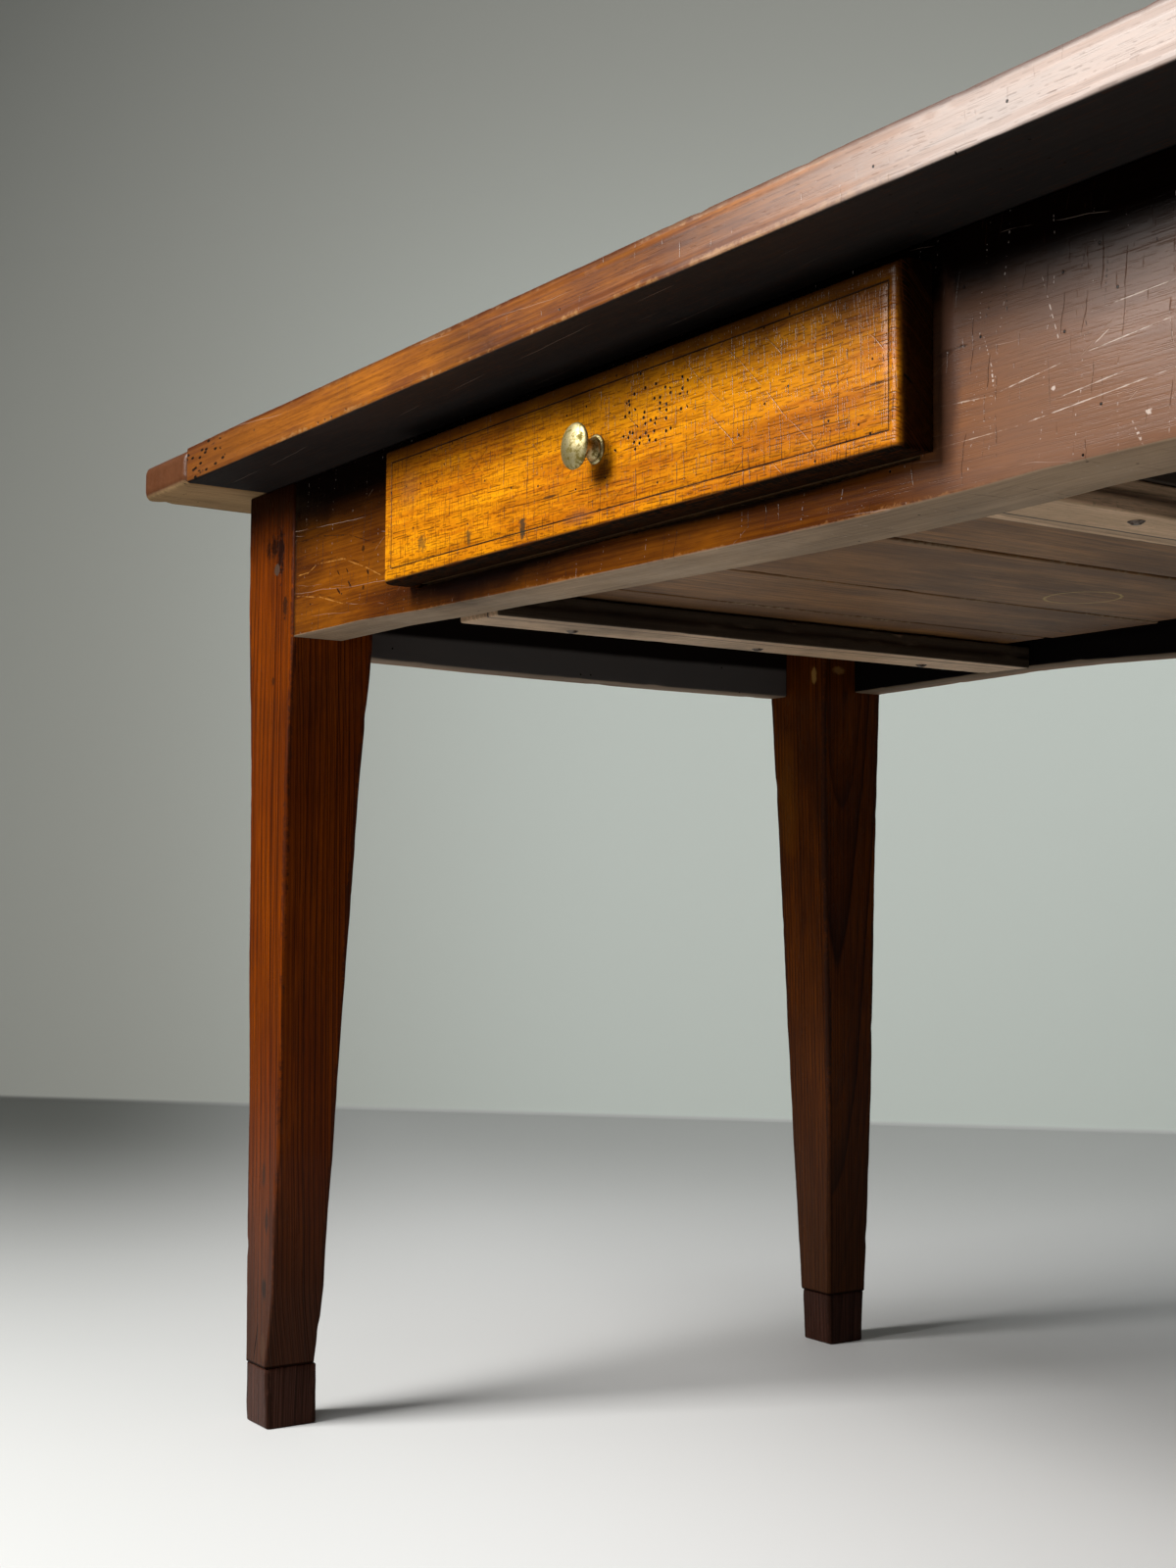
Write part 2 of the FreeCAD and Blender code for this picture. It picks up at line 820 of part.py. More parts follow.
def export_frame():
    """Write the legs, feet, aprons, runners and guides with their pegs and nails."""
    foot = foot_block()
    dowel = foot_dowel()
    for name, front in (("front", True), ("rear", False)):
        left_leg = leg(front)
        left_foot = foot if front else flip_y(foot)
        export("leg_" + name + "_left", left_leg)
        export("leg_" + name + "_right", flip_x(left_leg))
        export("foot_" + name + "_left", left_foot)
        export("foot_" + name + "_right", flip_x(left_foot))
    dowels = mirrored_pair(dowel) + mirrored_pair(flip_y(dowel))
    export("foot_dowels", Part.makeCompound(dowels))
    export("apron_front", apron_front())
    export("apron_rear", apron_rear())
    left_apron = apron_end()
    export("apron_left", left_apron)
    export("apron_right", flip_x(left_apron))
    export("tenon_pegs", Part.makeCompound(tenon_peg_shapes(peg_radius)))
    for name, shape in (("runner", runner()), ("guide", guide())):
        export(name + "_right", shape)
        export(name + "_left", flip_x(shape))
    nails = runner_nails()
    export("runner_nails", Part.makeCompound(nails + [flip_x(nail) for nail in nails]))


def export_drawer():
    """Write the drawer box, its nails and the knob."""
    export("drawer_front", drawer_front())
    side = drawer_side()
    export("drawer_side_right", side)
    export("drawer_side_left", flip_x(side))
    export("drawer_back", drawer_back())
    for index in range(len(bottom_overhangs)):
        export("drawer_bottom_" + str(index + 1), drawer_bottom_board(index))
    export("drawer_nails", Part.makeCompound(drawer_nail_shapes()))
    export("knob", knob())
    export("knob_collar", knob_collar())
    export("knob_post", knob_post(knob_post_radius))
    export("knob_nut", knob_nut())


export_top()
export_frame()
export_drawer()
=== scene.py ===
"""An old farmhouse table with tapered legs, breadboard ends and one lipped drawer.

The timbers are worn surfaces worked out from the size of the piece that each
one stands for. The wood is solid: growth rings run through every piece.
"""
import logging
import math
from dataclasses import dataclass, replace
from enum import Enum

import bpy
import numpy as np
from mathutils import Matrix, Vector


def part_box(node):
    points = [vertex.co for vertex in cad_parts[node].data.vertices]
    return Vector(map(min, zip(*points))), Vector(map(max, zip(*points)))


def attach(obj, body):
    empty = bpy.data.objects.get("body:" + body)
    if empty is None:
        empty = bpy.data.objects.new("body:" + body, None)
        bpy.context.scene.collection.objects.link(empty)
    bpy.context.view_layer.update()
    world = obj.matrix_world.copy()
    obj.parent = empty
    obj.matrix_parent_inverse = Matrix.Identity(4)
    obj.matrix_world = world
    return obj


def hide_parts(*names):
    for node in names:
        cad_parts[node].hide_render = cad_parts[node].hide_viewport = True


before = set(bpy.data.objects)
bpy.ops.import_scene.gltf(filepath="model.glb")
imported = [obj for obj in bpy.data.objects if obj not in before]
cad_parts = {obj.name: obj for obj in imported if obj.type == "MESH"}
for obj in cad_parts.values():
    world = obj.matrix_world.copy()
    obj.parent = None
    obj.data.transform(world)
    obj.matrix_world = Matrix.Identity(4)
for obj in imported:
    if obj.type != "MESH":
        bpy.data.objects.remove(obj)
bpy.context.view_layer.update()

LOG = logging.getLogger("farmhouse_table")
MM = 0.001

Socket = bpy.types.NodeSocket
Colour = tuple[float, float, float]
Place = tuple[float, float, float]


class Along(Enum):
    """The axis that a timber's grain runs along."""

    X = 0
    Y = 1
    Z = 2


def span(node: str) -> tuple[np.ndarray, np.ndarray]:
    """The lowest and highest corner of a piece of the frame.

    Args:
        node: The piece's name.

    Returns:
        Both corners in metres.
    """
    low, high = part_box(node)
    return np.array(low, float), np.array(high, float)


# Surfaces

# Where rows of points stand: shares of an end's rounding, distances from an arris, shares of an end face
END_SHARES = np.array([0.0, 0.08, 0.3, 0.62])
ARRIS_ROWS = np.array([0.25, 1.6, 4.0, 9.0]) * MM
CAP_SHARES = (0.75, 0.4)
# The same for a plank: shares of its edge's rounding, and widths of its incised line
EDGE_SHARES = np.array([0.0, 0.04, 0.13, 0.28, 0.48, 0.72, 1.0])
LINE_SHARES = np.array([-2.2, -1.2, -0.6, 0, 0.6, 1.2, 2.2])
# How far worn arrises reach into a face
TIMBER_ARRIS = 4 * MM
PLANK_ARRIS = 3.5 * MM


@dataclass(frozen=True)
class Ripple:
    """Smooth, seeded unevenness in space: a sum of plane sine waves.

    value(p) = sum over k of sin(2 pi d_k . p / l_k + phase_k) / sqrt(count),
    with random directions d_k, and lengths l_k near the given one.
    """

    seed: int
    length: float
    waves: int = 10

    def at(self, points: np.ndarray) -> np.ndarray:
        """The unevenness at some points, mostly between -1 and 1.

        Args:
            points: An array whose last axis is x, y, z.

        Returns:
            One value for each point.
        """
        rng = np.random.default_rng(self.seed)
        directions = rng.normal(size=(self.waves, 3))
        directions /= np.linalg.norm(directions, axis=1, keepdims=True)
        lengths = self.length * rng.uniform(0.6, 1.7, self.waves)
        phases = rng.uniform(0.0, 2 * math.pi, self.waves)
        turns = points @ (directions / lengths[:, None]).T
        return np.sin(2 * math.pi * turns + phases).sum(axis=-1) / math.sqrt(self.waves)


@dataclass(frozen=True)
class Inset:
    """How far one side of a timber lies inside its box, by places along the grain."""

    axis: Along
    upper: bool
    places: tuple[tuple[float, float], ...]

    def at(self, along: np.ndarray) -> np.ndarray:
        """The inset at each station, straight between the given places."""
        where, depth = zip(*self.places)
        return np.interp(along, where, depth) * MM


def make_object(name: str, points: np.ndarray, faces: list[np.ndarray],
                layers: dict[str, np.ndarray] | None = None) -> bpy.types.Object:
    """Put worked-out points and faces into a new object at the origin.

    Args:
        name: The new piece's name.
        points: An (n, 3) array in metres.
        faces: Arrays of point numbers, one row to a face.
        layers: Values for each point, stored as attributes by name.

    Returns:
        The object, linked to the scene and shaded smooth.
    """
    mesh = bpy.data.meshes.new(name)
    rows = [row for group in faces for row in group.tolist()]
    mesh.from_pydata(points.tolist(), [], rows)
    mesh.polygons.foreach_set("use_smooth", np.ones(len(mesh.polygons), bool))
    for title, values in (layers or {}).items():
        layer = mesh.attributes.new(title, "FLOAT", "POINT")
        layer.data.foreach_set("value", values.astype(np.float32))
    mesh.update()
    thing = bpy.data.objects.new(name, mesh)
    bpy.context.scene.collection.objects.link(thing)
    return thing


def sheet_faces(rows: int, columns: int, around: bool, first: int = 0) -> np.ndarray:
    """The four-sided faces of a grid of points numbered row by row.

    Args:
        rows: Points along the first parameter.
        columns: Points along the second parameter.
        around: True where the last column joins the first.
        first: The number of the grid's first point.

    Returns:
        An (m, 4) array of point numbers.
    """
    index = np.arange(rows * columns).reshape(rows, columns) + first
    turned = np.roll(index, -1, axis=1) if around else index[:, 1:]
    here = index if around else index[:, :-1]
    return np.stack([here[:-1], turned[:-1], turned[1:], here[1:]], axis=-1).reshape(-1, 4)


@dataclass
class Timber:
    """A sawn and planed bar with worn arrises, as a closed surface.

    The section is a rectangle whose corners are arcs, carried along the grain.
    At distance t along it, with corner radius r_k(t), corner k's arc is
    centre_k(t) + r_k(t) (cos a, sin a), and straight runs join the arcs. Both
    ends draw in by e - sqrt(e^2 - (e - d)^2) over the last e of the length.
    Wear only takes wood away, so the bar stays inside its box.
    """

    name: str
    low: np.ndarray
    high: np.ndarray
    grain: Along
    round_over: float = 2.0 * MM
    uneven: float = 0.25
    end_round: float = 1.2 * MM
    hollow: float = 0.2 * MM
    chips: float = 0.5 * MM
    step: float = 6.0 * MM
    seed: int = 1
    corner_scale: tuple[float, float, float, float] = (1.0, 1.0, 1.0, 1.0)
    insets: tuple[Inset, ...] = ()
    arc_points: int = 6
    slow_wear: float = 0.16
    quick_wear: float = 0.022

    def stations(self) -> np.ndarray:
        """Places along the grain: close together at both ends, even between.

        Returns:
            Their places, in metres.
        """
        axis = self.grain.value
        start, stop = self.low[axis], self.high[axis]
        close = self.end_round * END_SHARES
        inner = np.linspace(start + self.end_round, stop - self.end_round,
                            max(3, int((stop - start) / self.step)))
        return np.concatenate([start + close, inner, (stop - close)[::-1]])

    def limits(self, along: np.ndarray) -> list[np.ndarray]:
        """The section's low and high sides at each station, drawn in by the insets.

        Args:
            along: The stations.

        Returns:
            Low and high side on one cross axis, then on the other.
        """
        axis = self.grain.value
        sides = []
        for cross in ((axis + 1) % 3, (axis + 2) % 3):
            low, high = np.full_like(along, self.low[cross]), np.full_like(along, self.high[cross])
            for inset in self.insets:
                if inset.axis.value == cross:
                    low = low + (0.0 if inset.upper else 1.0) * inset.at(along)
                    high = high - (1.0 if inset.upper else 0.0) * inset.at(along)
            sides.extend([low, high])
        gap = np.minimum(along - self.low[axis], self.high[axis] - along)
        rest = np.clip(1 - gap / self.end_round, 0, 1)
        inset = self.end_round * (1 - np.sqrt(np.clip(1 - rest ** 2, 0, 1)))
        return [sides[0] + inset, sides[1] - inset, sides[2] + inset, sides[3] - inset]

    def radii(self, along: np.ndarray, room: np.ndarray) -> list[np.ndarray]:
        """Each corner's radius at each station, uneven along the arris.

        Args:
            along: The stations.
            room: The thinner width at each.

        Returns:
            One row for each of the four corners.
        """
        found = []
        for corner in range(4):
            spots = np.stack([along, np.full_like(along, 0.37 * corner), np.zeros_like(along)], -1)
            slow = Ripple(self.seed * 17 + corner, self.slow_wear).at(spots)
            quick = Ripple(self.seed * 31 + corner, self.quick_wear).at(spots)
            size = self.round_over * self.corner_scale[corner]
            size = size * (1 + self.uneven * (0.6 * slow + 0.5 * quick))
            found.append(np.clip(size, 0.6 * self.round_over * self.corner_scale[corner], 0.46 * room))
        return found

    def section(self, along: np.ndarray) -> tuple[np.ndarray, np.ndarray, np.ndarray]:
        """All points of all sections, their outward directions and nearness to an arris.

        Args:
            along: The stations.

        Returns:
            Places and directions across the grain, and the nearness, 1 on an arris.
        """
        low1, high1, low2, high2 = self.limits(along)
        room = np.minimum(high1 - low1, high2 - low2)
        radii = self.radii(along, room)
        middles = [(high1, -1, high2, -1), (low1, 1, high2, -1), (low1, 1, low2, 1), (high1, -1, low2, 1)]
        spots, outward, arris = [], [], []
        arcs = []
        for corner, (side1, sign1, side2, sign2) in enumerate(middles):
            radius = radii[corner]
            angles = math.pi / 2 * (corner + np.linspace(0, 1, self.arc_points))
            first = (side1 + sign1 * radius)[:, None] + radius[:, None] * np.cos(angles)
            second = (side2 + sign2 * radius)[:, None] + radius[:, None] * np.sin(angles)
            arcs.append((first, second, angles))
        widths = [float((high2 - low2).max()), float((high1 - low1).max())]
        for corner in range(4):
            first, second, angles = arcs[corner]
            following = arcs[(corner + 1) % 4]
            spots.append(np.stack([first, second], -1))
            facing = np.stack([np.cos(angles), np.sin(angles)], -1)
            outward.append(np.broadcast_to(facing, spots[-1].shape))
            arris.append(np.ones(len(angles)))
            width = widths[(corner + 1) % 2]
            near = ARRIS_ROWS / width
            count = max(2, int(width / self.step))
            shares = np.concatenate([near, np.linspace(0, 1, count + 2)[1:-1], 1 - near])
            shares = np.unique(np.clip(shares, 0.005, 0.995))
            start = np.stack([first[:, -1:], second[:, -1:]], -1)
            stop = np.stack([following[0][:, :1], following[1][:, :1]], -1)
            spots.append(start + (stop - start) * shares[None, :, None])
            normal = np.array([math.cos(angles[-1]), math.sin(angles[-1])])
            outward.append(np.broadcast_to(normal, spots[-1].shape))
            away = np.minimum(shares, 1 - shares) * width
            arris.append(np.exp(-(away / TIMBER_ARRIS) ** 2))
        return np.concatenate(spots, 1), np.concatenate(outward, 1), np.concatenate(arris)

    def build(self) -> bpy.types.Object:
        """Work the surface out and put it into a new object.

        Returns:
            The closed piece, with an "arris" attribute that is 1 on its arrises.
        """
        axis = self.grain.value
        first, second = (axis + 1) % 3, (axis + 2) % 3
        along = self.stations()
        flat, facing, arris = self.section(along)
        rows, columns = flat.shape[:2]
        points = np.empty((rows, columns, 3))
        points[..., axis] = along[:, None]
        points[..., first] = flat[..., 0]
        points[..., second] = flat[..., 1]
        normals = np.zeros_like(points)
        normals[..., first] = facing[..., 0]
        normals[..., second] = facing[..., 1]
        sink = self.hollow * (0.5 + 0.5 * np.clip(Ripple(self.seed + 5, 0.11).at(points), -1, 1))
        bites = np.clip(Ripple(self.seed + 3, 0.026, 14).at(points) - 1.0, 0, 1)
        sink = sink + self.chips * 2.5 * bites * arris ** 2
        points -= normals * sink[..., None]
        values = np.broadcast_to(arris, (rows, columns))
        faces = [sheet_faces(rows, columns, True)]
        stack, layer, count = [points.reshape(-1, 3)], [values.reshape(-1)], rows * columns
        for end, forward in ((0, False), (rows - 1, True)):
            ring = points[end]
            centre = ring.mean(axis=0)
            rim = np.arange(columns) + end * columns
            for share in CAP_SHARES:
                stack.append(centre + (ring - centre) * share)
                layer.append(np.full(columns, 0.2))
                inner = np.arange(columns) + count
                joined = np.stack([rim, np.roll(rim, -1), np.roll(inner, -1), inner], -1)
                faces.append(joined if forward else joined[:, ::-1])
                rim = inner
                count += columns
            stack.append(centre[None])
            layer.append(np.zeros(1))
            fan = np.stack([rim, np.roll(rim, -1), np.full(columns, count)], -1)
            faces.append(fan if forward else fan[:, ::-1])
            count += 1
        return make_object(self.name, np.concatenate(stack), faces, {"arris": np.concatenate(layer)})


@dataclass
class Plank:
    """An upright board facing the front, with rounded edges and square openings.

    The face is a grid over x and z. With d the distance to the nearest edge,
    the face lies back by profile(d), and the back face by the plain rounding
    r - sqrt(r^2 - (r - d)^2). Walls join both faces along every edge. The
    lower edge may be bowed and the board thinner there: both fade out over
    bow_height, as w(z) = 1 - (z - low) / bow_height.
    """

    name: str
    low: np.ndarray
    high: np.ndarray
    opening: tuple[float, float, float, float] | None = None
    face_round: float = 2.0 * MM
    back_round: float = 1.0 * MM
    line_inset: float = 0.0
    line_width: float = 0.7 * MM
    line_depth: float = 0.0
    step: float = 6.0 * MM
    hollow: float = 0.25 * MM
    uneven: float = 0.3
    seed: int = 1
    bow: tuple[tuple[float, float], ...] = ((0.0, 0.0),)
    thinner: tuple[tuple[float, float], ...] = ((0.0, 0.0),)
    bow_height: float = 20.0 * MM
    sharp_left: float = 1.0
    sharp_below: float = 1.0
    sharp_above: float = 1.0

    def lines(self, edges: list[float]) -> np.ndarray:
        """Grid places between the given edges, close together near each edge.

        Args:
            edges: The board's ends and the opening's sides, in order.

        Returns:
            The places, in order.
        """
        near = list(self.face_round * EDGE_SHARES)
        if self.line_inset:
            near += list(self.line_inset + self.line_width * LINE_SHARES)
        near = np.array(near)
        found = []
        for start, stop in zip(edges, edges[1:]):
            close = near[near < 0.45 * (stop - start)]
            count = max(2, int((stop - start - 2 * close.max()) / self.step))
            middle = np.linspace(start + close.max(), stop - close.max(), count + 1)
            found.extend([start + close, middle, stop - close])
        return np.unique(np.round(np.concatenate(found), 6))

    def nearness(self, x: np.ndarray, z: np.ndarray, left: float = 1.0, below: float = 1.0,
                 above: float = 1.0) -> np.ndarray:
        """The distance to the nearest edge or opening.

        Args:
            x: Places across the face.
            z: Heights on the face.
            left: How many times farther the left edge counts.
            below: The same for the lower edge.
            above: The same for the upper edge.

        Returns:
            The distance at each place.
        """
        outer = np.minimum.reduce([left * (x - self.low[0]), self.high[0] - x, below * (z - self.low[2]),
                                   above * (self.high[2] - z)])
        if self.opening is None:
            return outer
        x0, x1, z0, z1 = self.opening
        off_x = np.maximum(np.maximum(x0 - x, x - x1), 0)
        off_z = np.maximum(np.maximum(z0 - z, z - z1), 0)
        return np.minimum(outer, np.hypot(off_x, off_z))

    def drop(self, distance: np.ndarray, radius: float) -> np.ndarray:
        """The rounding at an edge: how far the face lies back."""
        rest = np.clip(1 - distance / radius, 0, 1)
        return radius * (1 - np.sqrt(np.clip(1 - rest ** 2, 0, 1)))

    def build(self) -> bpy.types.Object:
        """Work both faces and the walls out and put them into a new object.

        Returns:
            The closed piece, with "arris" and "groove" attributes.
        """
        x_edges, z_edges = [self.low[0], self.high[0]], [self.low[2], self.high[2]]
        if self.opening:
            x_edges[1:1] = self.opening[:2]
            z_edges[1:1] = self.opening[2:]
        xs, zs = self.lines(x_edges), self.lines(z_edges)
        x, z = np.meshgrid(xs, zs, indexing="ij")
        distance = self.nearness(x, z)
        spots = np.stack([x, np.full_like(x, self.low[1]), z], -1)
        rounded = self.nearness(x, z, self.sharp_left, self.sharp_below, self.sharp_above)
        worn = rounded - np.clip(distance * 400, 0, 1) * self.uneven * MM * Ripple(self.seed, 0.03).at(spots)
        face = self.drop(np.clip(worn, 0, None), self.face_round)
        if self.line_depth:
            fade = 1 + 0.35 * Ripple(self.seed + 3, 0.05).at(spots)
            face += self.line_depth * fade * np.exp(-((distance - self.line_inset) / self.line_width) ** 2)
        inner = np.clip((distance - self.face_round) / (4 * MM), 0, 1)
        face += inner * self.hollow * (0.5 + 0.5 * np.clip(Ripple(self.seed + 1, 0.12).at(spots), -1, 1))
        weight = np.clip(1 - (z - self.low[2]) / self.bow_height, 0, 1)
        lifted = z + weight * np.interp(x, *zip(*self.bow)) * MM
        thinned = weight * np.interp(x, *zip(*self.thinner)) * MM
        front = np.stack([x, self.low[1] + face, lifted], -1)
        back = np.stack([x, self.high[1] - thinned - self.drop(distance, self.back_round), lifted], -1)
        kept = self.kept_cells(xs, zs)
        rows, columns = x.shape
        number = np.arange(rows * columns).reshape(rows, columns)
        other = number + rows * columns
        cell = np.stack([number[:-1, :-1], number[1:, :-1], number[1:, 1:], number[:-1, 1:]], -1)
        faces = [cell[kept], (cell + rows * columns)[kept][:, ::-1]]
        faces.extend(self.walls(kept, number, other))
        points = np.concatenate([front.reshape(-1, 3), back.reshape(-1, 3)])
        edge = np.minimum.reduce([x - self.low[0], self.high[0] - x, z - self.low[2], self.high[2] - z])
        arris = np.exp(-(edge / PLANK_ARRIS) ** 2).reshape(-1)
        used = np.unique(np.concatenate([group.reshape(-1) for group in faces]))
        renumber = np.zeros(len(points), int)
        renumber[used] = np.arange(len(used))
        layers = {"arris": np.concatenate([arris, arris])[used]}
        if self.line_depth:
            cut = np.exp(-((distance - self.line_inset) / (1.2 * self.line_width)) ** 2).reshape(-1)
            layers["groove"] = np.concatenate([cut, 0 * cut])[used]
        return make_object(self.name, points[used], [renumber[group] for group in faces], layers)

    def kept_cells(self, xs: np.ndarray, zs: np.ndarray) -> np.ndarray:
        """True for each cell of the grid that is wood and not opening.

        Args:
            xs: The grid's places across.
            zs: Its heights.

        Returns:
            One value for each cell.
        """
        middle_x, middle_z = (xs[:-1] + xs[1:]) / 2, (zs[:-1] + zs[1:]) / 2
        kept = np.ones((len(middle_x), len(middle_z)), bool)
        if self.opening:
            x0, x1, z0, z1 = self.opening
            inside_x = (middle_x > x0) & (middle_x < x1)
            inside_z = (middle_z > z0) & (middle_z < z1)
            kept &= ~(inside_x[:, None] & inside_z[None, :])
        return kept

    def walls(self, kept: np.ndarray, front: np.ndarray, back: np.ndarray) -> list[np.ndarray]:
        """The faces that join front and back wherever wood meets air.

        Args:
            kept: Which cells are wood.
            front: The numbers of the front's points.
            back: The numbers of the back's.

        Returns:
            Rows of four point numbers.
        """
        padded = np.pad(kept, 1)
        here = padded[1:-1, 1:-1]
        low_x = np.argwhere(here & ~padded[:-2, 1:-1])
        high_x = np.argwhere(here & ~padded[2:, 1:-1])
        low_z = np.argwhere(here & ~padded[1:-1, :-2])
        high_z = np.argwhere(here & ~padded[1:-1, 2:])
        found = []
        for cells, start, stop in ((low_x, (0, 1), (0, 0)), (high_x, (1, 0), (1, 1)),
                                   (low_z, (0, 0), (1, 0)), (high_z, (1, 1), (0, 1))):
            a = cells + np.array(start)
            b = cells + np.array(stop)
            found.append(np.stack([front[a[:, 0], a[:, 1]], back[a[:, 0], a[:, 1]],
                                   back[b[:, 0], b[:, 1]], front[b[:, 0], b[:, 1]]], -1))
        return found


@dataclass
class Turning:
    """A closed shape turned about an axis that points along -Y, out of the drawer.

    point(s, a) = centre + r(s) (cos a, 0, sin a) - out(s) (0, 1, 0).
    """

    name: str
    centre: np.ndarray
    profile: np.ndarray
    turns: int = 48

    def build(self) -> bpy.types.Object:
        """Turn the profile, from the pole at its start to the pole at its end.

        Returns:
            The closed piece.
        """
        angles = np.linspace(0, 2 * math.pi, self.turns, endpoint=False)
        radius, out = self.profile[:, 0], self.profile[:, 1]
        points = np.empty((len(radius), self.turns, 3))
        points[..., 0] = self.centre[0] + radius[:, None] * np.cos(angles)
        points[..., 1] = self.centre[1] - out[:, None]
        points[..., 2] = self.centre[2] + radius[:, None] * np.sin(angles)
        rows = len(radius)
        faces = [sheet_faces(rows, self.turns, True)[:, ::-1]]
        ends = np.array([[self.centre[0], self.centre[1] - out[0], self.centre[2]],
                         [self.centre[0], self.centre[1] - out[-1], self.centre[2]]])
        count = rows * self.turns
        rim = np.arange(self.turns)
        faces.append(np.stack([rim, np.roll(rim, -1), np.full(self.turns, count)], -1))
        rim = rim + (rows - 1) * self.turns
        faces.append(np.stack([np.roll(rim, -1), rim, np.full(self.turns, count + 1)], -1))
        return make_object(self.name, np.concatenate([points.reshape(-1, 3), ends]), faces)


# Shading

BLACK = (0.006, 0.003, 0.002)
BUMP_REACH = 0.5 * MM
METAL_BUMP_REACH = 0.2 * MM
METAL_RELIEF = 0.15
METAL_SHARE = 0.95


class Sheet:
    """Places and links the nodes of one tree. An argument may be a socket or a plain value."""

    def __init__(self, tree: bpy.types.NodeTree) -> None:
        """Keep the tree that the nodes go into."""
        self.tree = tree

    def put(self, kind: str, inputs: dict[str | int, object] | None = None,
            **settings: object) -> bpy.types.Node:
        """Add a node, set its properties, and feed its inputs.

        Args:
            kind: The node's type name.
            inputs: Values or sockets, by input name or number.
            settings: The node's own properties.

        Returns:
            The new node.
        """
        node = self.tree.nodes.new(kind)
        for title, value in settings.items():
            setattr(node, title, value)
        for title, value in (inputs or {}).items():
            self.feed(node.inputs[title], value)
        return node

    def feed(self, socket: Socket, value: object) -> None:
        """Link a socket, or set an unlinked input's value."""
        if isinstance(value, bpy.types.NodeSocket):
            self.tree.links.new(value, socket)
        elif isinstance(value, tuple) and socket.type == "RGBA":
            socket.default_value = (*value, 1.0)
        else:
            socket.default_value = value

    def math(self, operation: str, first: object, second: object = 0.0, third: object = 0.0) -> Socket:
        """The result of one Math node."""
        return self.put("ShaderNodeMath", {0: first, 1: second, 2: third}, operation=operation).outputs[0]

    def times(self, first: object, second: object) -> Socket:
        """The product of two values."""
        return self.math("MULTIPLY", first, second)

    def plus(self, first: object, second: object) -> Socket:
        """The sum of two values."""
        return self.math("ADD", first, second)

    def most(self, first: object, second: object) -> Socket:
        """The larger of two values."""
        return self.math("MAXIMUM", first, second)

    def stretch(self, vector: object, factors: Place) -> Socket:
        """A vector times one factor for each axis."""
        node = self.put("ShaderNodeVectorMath", {0: vector, 1: factors}, operation="MULTIPLY")
        return node.outputs[0]

    def remap(self, value: object, low: object, high: object, to_low: float = 0.0, to_high: float = 1.0,
              smooth: bool = True) -> Socket:
        """A value carried from one range to another, held at both ends.

        Args:
            value: What is carried.
            low: The start of its range.
            high: Its end.
            to_low: The start of the new range.
            to_high: Its end.
            smooth: Whether it eases in and out.

        Returns:
            The new value.
        """
        if isinstance(low, float) and isinstance(high, float) and low > high:
            low, high, to_low, to_high = high, low, to_high, to_low
        kind = "SMOOTHSTEP" if smooth else "LINEAR"
        node = self.put("ShaderNodeMapRange", {0: value, 1: low, 2: high, 3: to_low, 4: to_high},
                        interpolation_type=kind)
        return node.outputs[0]

    def noise(self, vector: object, scale: float = 1.0, detail: float = 2.0, rough: float = 0.5) -> Socket:
        """Smooth noise around a half."""
        node = self.put("ShaderNodeTexNoise", {"Vector": vector, "Scale": scale, "Detail": detail,
                                               "Roughness": rough})
        return node.outputs[0]

    def mix(self, share: object, first: object, second: object, blend: str = "MIX") -> Socket:
        """Two colours mixed by a share of the second.

        Args:
            share: How much of the second.
            first: One colour.
            second: The other.
            blend: How they mix.

        Returns:
            The mixed colour.
        """
        node = self.put("ShaderNodeMix", data_type="RGBA", blend_type=blend)
        self.feed(node.inputs[0], share)
        self.feed(node.inputs[6], first)
        self.feed(node.inputs[7], second)
        return node.outputs[2]

    def group(self, tree: bpy.types.NodeTree, inputs: dict[str, object]) -> bpy.types.Node:
        """Place a group and feed its named inputs.

        Args:
            tree: The group.
            inputs: What its inputs get.

        Returns:
            The placed group.
        """
        node = self.tree.nodes.new("ShaderNodeGroup")
        node.node_tree = tree
        for title, value in inputs.items():
            self.feed(node.inputs[title], value)
        return node


